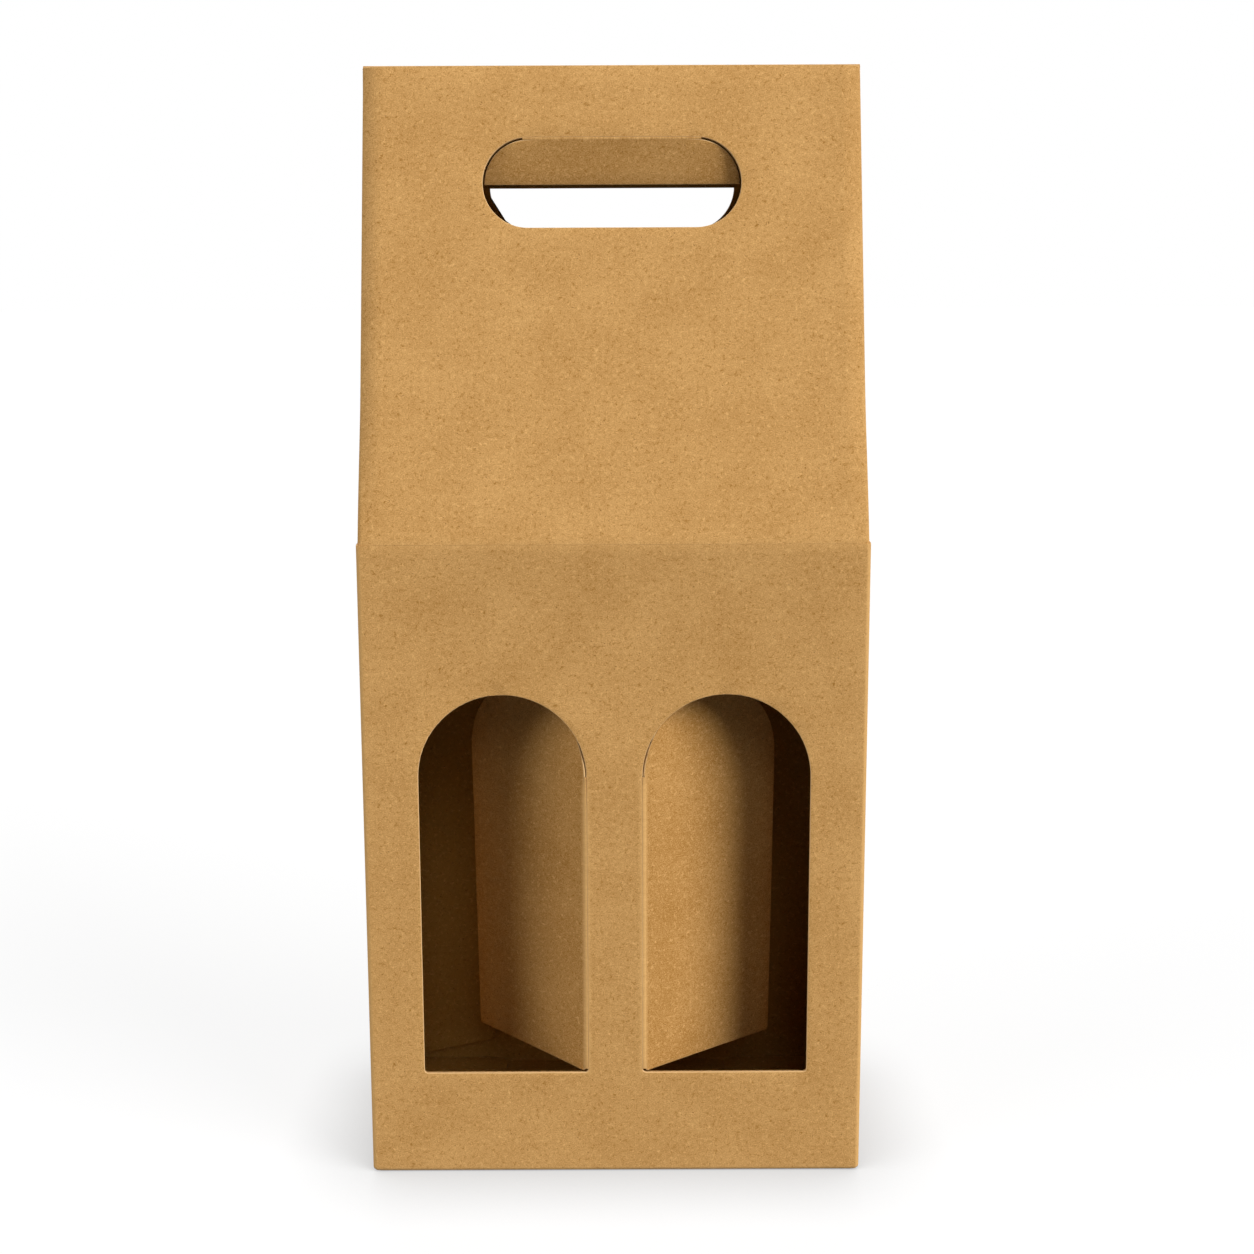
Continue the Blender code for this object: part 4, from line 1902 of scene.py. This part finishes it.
@dataclass
class Bottom:
    """The four flaps of the snap-lock bottom."""

    side_clearance: float = 2.5 * MM
    joggle_start: float = 1.8 * MM
    joggle_slope: float = math.radians(30)
    side_length: float = 45 * MM
    side_end_clearance: float = 0.6 * MM
    back_length: float = 47 * MM
    back_taper: float = 4 * MM
    tongue_width: float = 56 * MM
    tongue_length: float = 20 * MM
    tongue_corner: float = 10 * MM
    notch_clearance: float = 2 * MM
    leg_length: float = 74 * MM
    leg_taper: float = 7 * MM
    leg_corner: float = 14 * MM
    flap_corner: float = 6 * MM

    def build(self, workshop: Workshop) -> None:
        """Build the flaps in the order in which they are folded.

        Args:
            workshop: Where pieces are dressed and hung.
        """
        self._front(workshop)
        for side in Side:
            self._side(workshop, side)
        self._back(workshop)

    @property
    def layer(self) -> float:
        """Height of one flap over the next."""
        return SIZES.board + SIZES.gap

    def _run(self, layers: int) -> float:
        """Length of the slope that climbs this many layers."""
        return layers * self.layer / math.tan(self.joggle_slope)

    def _flap(
        self,
        workshop: Workshop,
        label: str,
        place: Matrix,
        outline: Sequence[Corner],
        blank: Blank,
        climb_from: float,
        layers: int,
    ) -> None:
        """Build one flap, folded at its root, that climbs over the layers outside it.

        Args:
            workshop: Where pieces are dressed and hung.
            label: Which flap it is.
            place: The board's frame.
            outline: Its outline.
            blank: Where it lies in the sheet.
            climb_from: Where its slope begins.
            layers: How many layers it climbs.
        """
        climb = Joggle((0, climb_from), (0, 1), layers * self.layer, self._run(layers))
        bends = [climb, Fold((0, 0), (0, -1))]
        board = Board(f"{label}_bottom_board", place, outline, (), bends, blank, waviness=0.0)
        workshop.fit(board.build(), Body.CARTON, f"{label}_bottom_flap")

    def _front(self, workshop: Workshop) -> None:
        """The front flap with its two legs.

        Args:
            workshop: Where pieces are dressed and hung.
        """
        half = SIZES.width / 2 - self.side_clearance
        notch = self.tongue_width / 2 + self.notch_clearance
        notch_depth = SIZES.depth - self.back_length - self._run(3) - SIZES.gap
        right_half = [
            (half, 0, 0),
            (half - self.leg_taper, self.leg_length, self.leg_corner),
            (notch, self.leg_length, self.leg_corner),
            (notch, notch_depth, self.notch_clearance),
        ]
        place = facing(Vector((0, -SIZES.depth / 2, 0)), BACK, -UP)
        blank = Blank(0, 0, -1, -1)
        self._flap(workshop, "front", place, mirrored(right_half), blank, self.joggle_start, 2)

    def _side(self, workshop: Workshop, side: Side) -> None:
        """A side flap, between the back flap and the front one.

        Args:
            workshop: Where pieces are dressed and hung.
            side: The left or the right.
        """
        sign = side.value
        relief = self.joggle_start + self._run(2) + SIZES.gap
        front = sign * (SIZES.depth / 2 - relief)
        back = -sign * (SIZES.depth / 2 - SIZES.board - self.side_end_clearance)
        length, corner = self.side_length, self.flap_corner
        outline = [(front, 0, 0), (back, 0, 0), (back, length, corner), (front, length, corner)]
        place = facing(RIGHT * sign * SIZES.width / 2, RIGHT * -sign, -UP)
        blank = Blank(sign * (SIZES.width + SIZES.depth) / 2, 0, -1, -1)
        self._flap(workshop, side.name.lower(), place, outline, blank, self.joggle_start, 1)

    def _back(self, workshop: Workshop) -> None:
        """The back flap with the tongue that locks into the front one.

        Args:
            workshop: Where pieces are dressed and hung.
        """
        shoulder = SIZES.width / 2 - self.joggle_start - self._run(1) - SIZES.gap
        tongue = self.tongue_width / 2
        right_half = [
            (shoulder, 0, 0),
            (shoulder - self.back_taper, self.back_length, self.flap_corner),
            (tongue, self.back_length, self.flap_corner),
            (tongue, self.back_length + self.tongue_length, self.tongue_corner),
        ]
        place = facing(BACK * SIZES.depth / 2, -BACK, -UP)
        blank = Blank(1.5 * SIZES.width, 0, -1, -1)
        self._flap(workshop, "back", place, mirrored(right_half), blank, self.back_length, 3)


# Studio


@dataclass(frozen=True)
class FloorFinish:
    """White floor that stays white to the camera, with a soft contact shadow and a faint cast one."""

    lit: float = 0.2
    cast: float = 0.15
    contact: float = 0.65
    contact_reach: float = 40 * MM
    contact_samples: int = 16
    roughness: float = 0.9

    def material(self) -> bpy.types.Material:
        """Build the material.

        Returns:
            The material of the floor.
        """
        made = Shader(bpy.data.materials.new("studio_floor"))
        camera, glossy, through = made.rays("Camera", "Glossy", "Transmission")
        seen = (camera + glossy + through).step(0, 1)
        tone = made.mix(seen, (self.lit,) * 3, (1, 1, 1))
        plain = {"Base Color": tone, "Roughness": self.roughness, "Specular IOR Level": 0.0}
        diffuse = made.node("ShaderNodeBsdfPrincipled", {}, plain)
        samples, reach = {"samples": self.contact_samples}, {"Distance": self.contact_reach}
        clear = made.node("ShaderNodeAmbientOcclusion", samples, reach, "AO")
        white = made.node("ShaderNodeEmission", {}, {"Strength": 1 - (1 - clear) * self.contact})
        both = {0: seen * (1 - self.cast), 1: diffuse, 2: white}
        return made.output(made.node("ShaderNodeMixShader", {}, both))


@dataclass(frozen=True)
class Sun:
    """A distant soft light. Angles are in degrees, the azimuth turned to the right from the front."""

    name: str
    strength: float
    elevation: float
    azimuth: float
    spread: float = 40

    def build(self) -> None:
        """Put the light into the scene."""
        light = bpy.data.lights.new(self.name, "SUN")
        light.energy = self.strength
        light.angle = math.radians(self.spread)
        rise, turn = math.radians(self.elevation), math.radians(self.azimuth)
        towards = Vector((math.sin(turn) * math.cos(rise), -math.cos(turn) * math.cos(rise), math.sin(rise)))
        lamp = new_object(self.name, light)
        lamp.matrix_world = towards.to_track_quat("Z", "Y").to_matrix().to_4x4()


@dataclass
class Studio:
    """Floor, lights and the camera at the photograph's viewing angle.

    The lights are a broad soft key from above on the right, a weaker one on the left, and weak ones in front
    and behind. The camera's shift is a share of the frame's width.
    """

    floor_size: float = 30.0
    world_light: float = 0.02
    suns: tuple[Sun, ...] = (
        Sun("key", 3.87, 29, 58),
        Sun("fill", 1.82, 30, -66),
        Sun("front", 0.25, 40, 10, 24),
        Sun("back", 1.1, 30, 180),
    )
    camera_place: tuple = (0.000013, -0.635960, 0.328382)
    pitch: float = math.radians(9.390)
    roll: float = math.radians(-0.232)
    focal_pixels: float = 1717.9
    frame_pixels: float = 1254.0
    sensor: float = 36.0
    shift: tuple = (0.010745, -0.055821)

    def build(self) -> None:
        """Build the studio."""
        self._floor()
        self._world()
        for sun in self.suns:
            sun.build()
        self._camera()

    def _floor(self) -> None:
        """A wide level floor under the carton."""
        shape = bmesh.new()
        bmesh.ops.create_grid(shape, x_segments=1, y_segments=1, size=self.floor_size / 2)
        mesh = bpy.data.meshes.new("studio_floor")
        shape.to_mesh(mesh)
        shape.free()
        mesh.materials.append(FloorFinish().material())
        new_object("studio_floor", mesh)

    def _world(self) -> None:
        """White to the camera and a plain soft level to the carton."""
        world = bpy.data.worlds.new("studio")
        bpy.context.scene.world = world
        made = Shader(world)
        (seen,) = made.rays("Camera")
        levels = {"Value": seen, "To Min": self.world_light, "To Max": 1.0}
        light = {"Color": (1, 1, 1, 1), "Strength": made.node("ShaderNodeMapRange", {}, levels)}
        made.output(made.node("ShaderNodeBackground", {}, light), "World")

    def _camera(self) -> None:
        """The camera of the photograph."""
        lens = bpy.data.cameras.new("camera")
        lens.sensor_width = self.sensor
        lens.lens = self.focal_pixels / self.frame_pixels * self.sensor
        lens.shift_x, lens.shift_y = self.shift
        lens.clip_start = 0.01
        lens.clip_end = 100
        camera = new_object("camera", lens)
        tilt = Matrix.Rotation(math.pi / 2 - self.pitch, 4, "X") @ Matrix.Rotation(self.roll, 4, "Z")
        camera.matrix_world = Matrix.Translation(self.camera_place) @ tilt
        bpy.context.scene.camera = camera


def main() -> None:
    """Build the carton's sub-assemblies in order, and the studio round them."""
    logging.basicConfig(level=logging.INFO, format="%(name)s %(message)s")
    workshop = Workshop(KraftFinish().material())
    panels = UprightPanels()
    panels.build(workshop)
    Divider(Side.LEFT, panels, fold=math.radians(44.5), pull=0.75 * MM).build(workshop)
    Divider(Side.RIGHT, panels, fold=math.radians(35), pull=0.60 * MM).build(workshop)
    Roof().build(workshop)
    Lid().build(workshop)
    for side in Side:
        Gusset(side).build(workshop)
    Bottom().build(workshop)
    Studio().build()
    bpy.context.scene.view_settings.view_transform = "Standard"
    LOG.info("%d pieces", len(workshop.made))


if __name__ == "__main__":
    main()
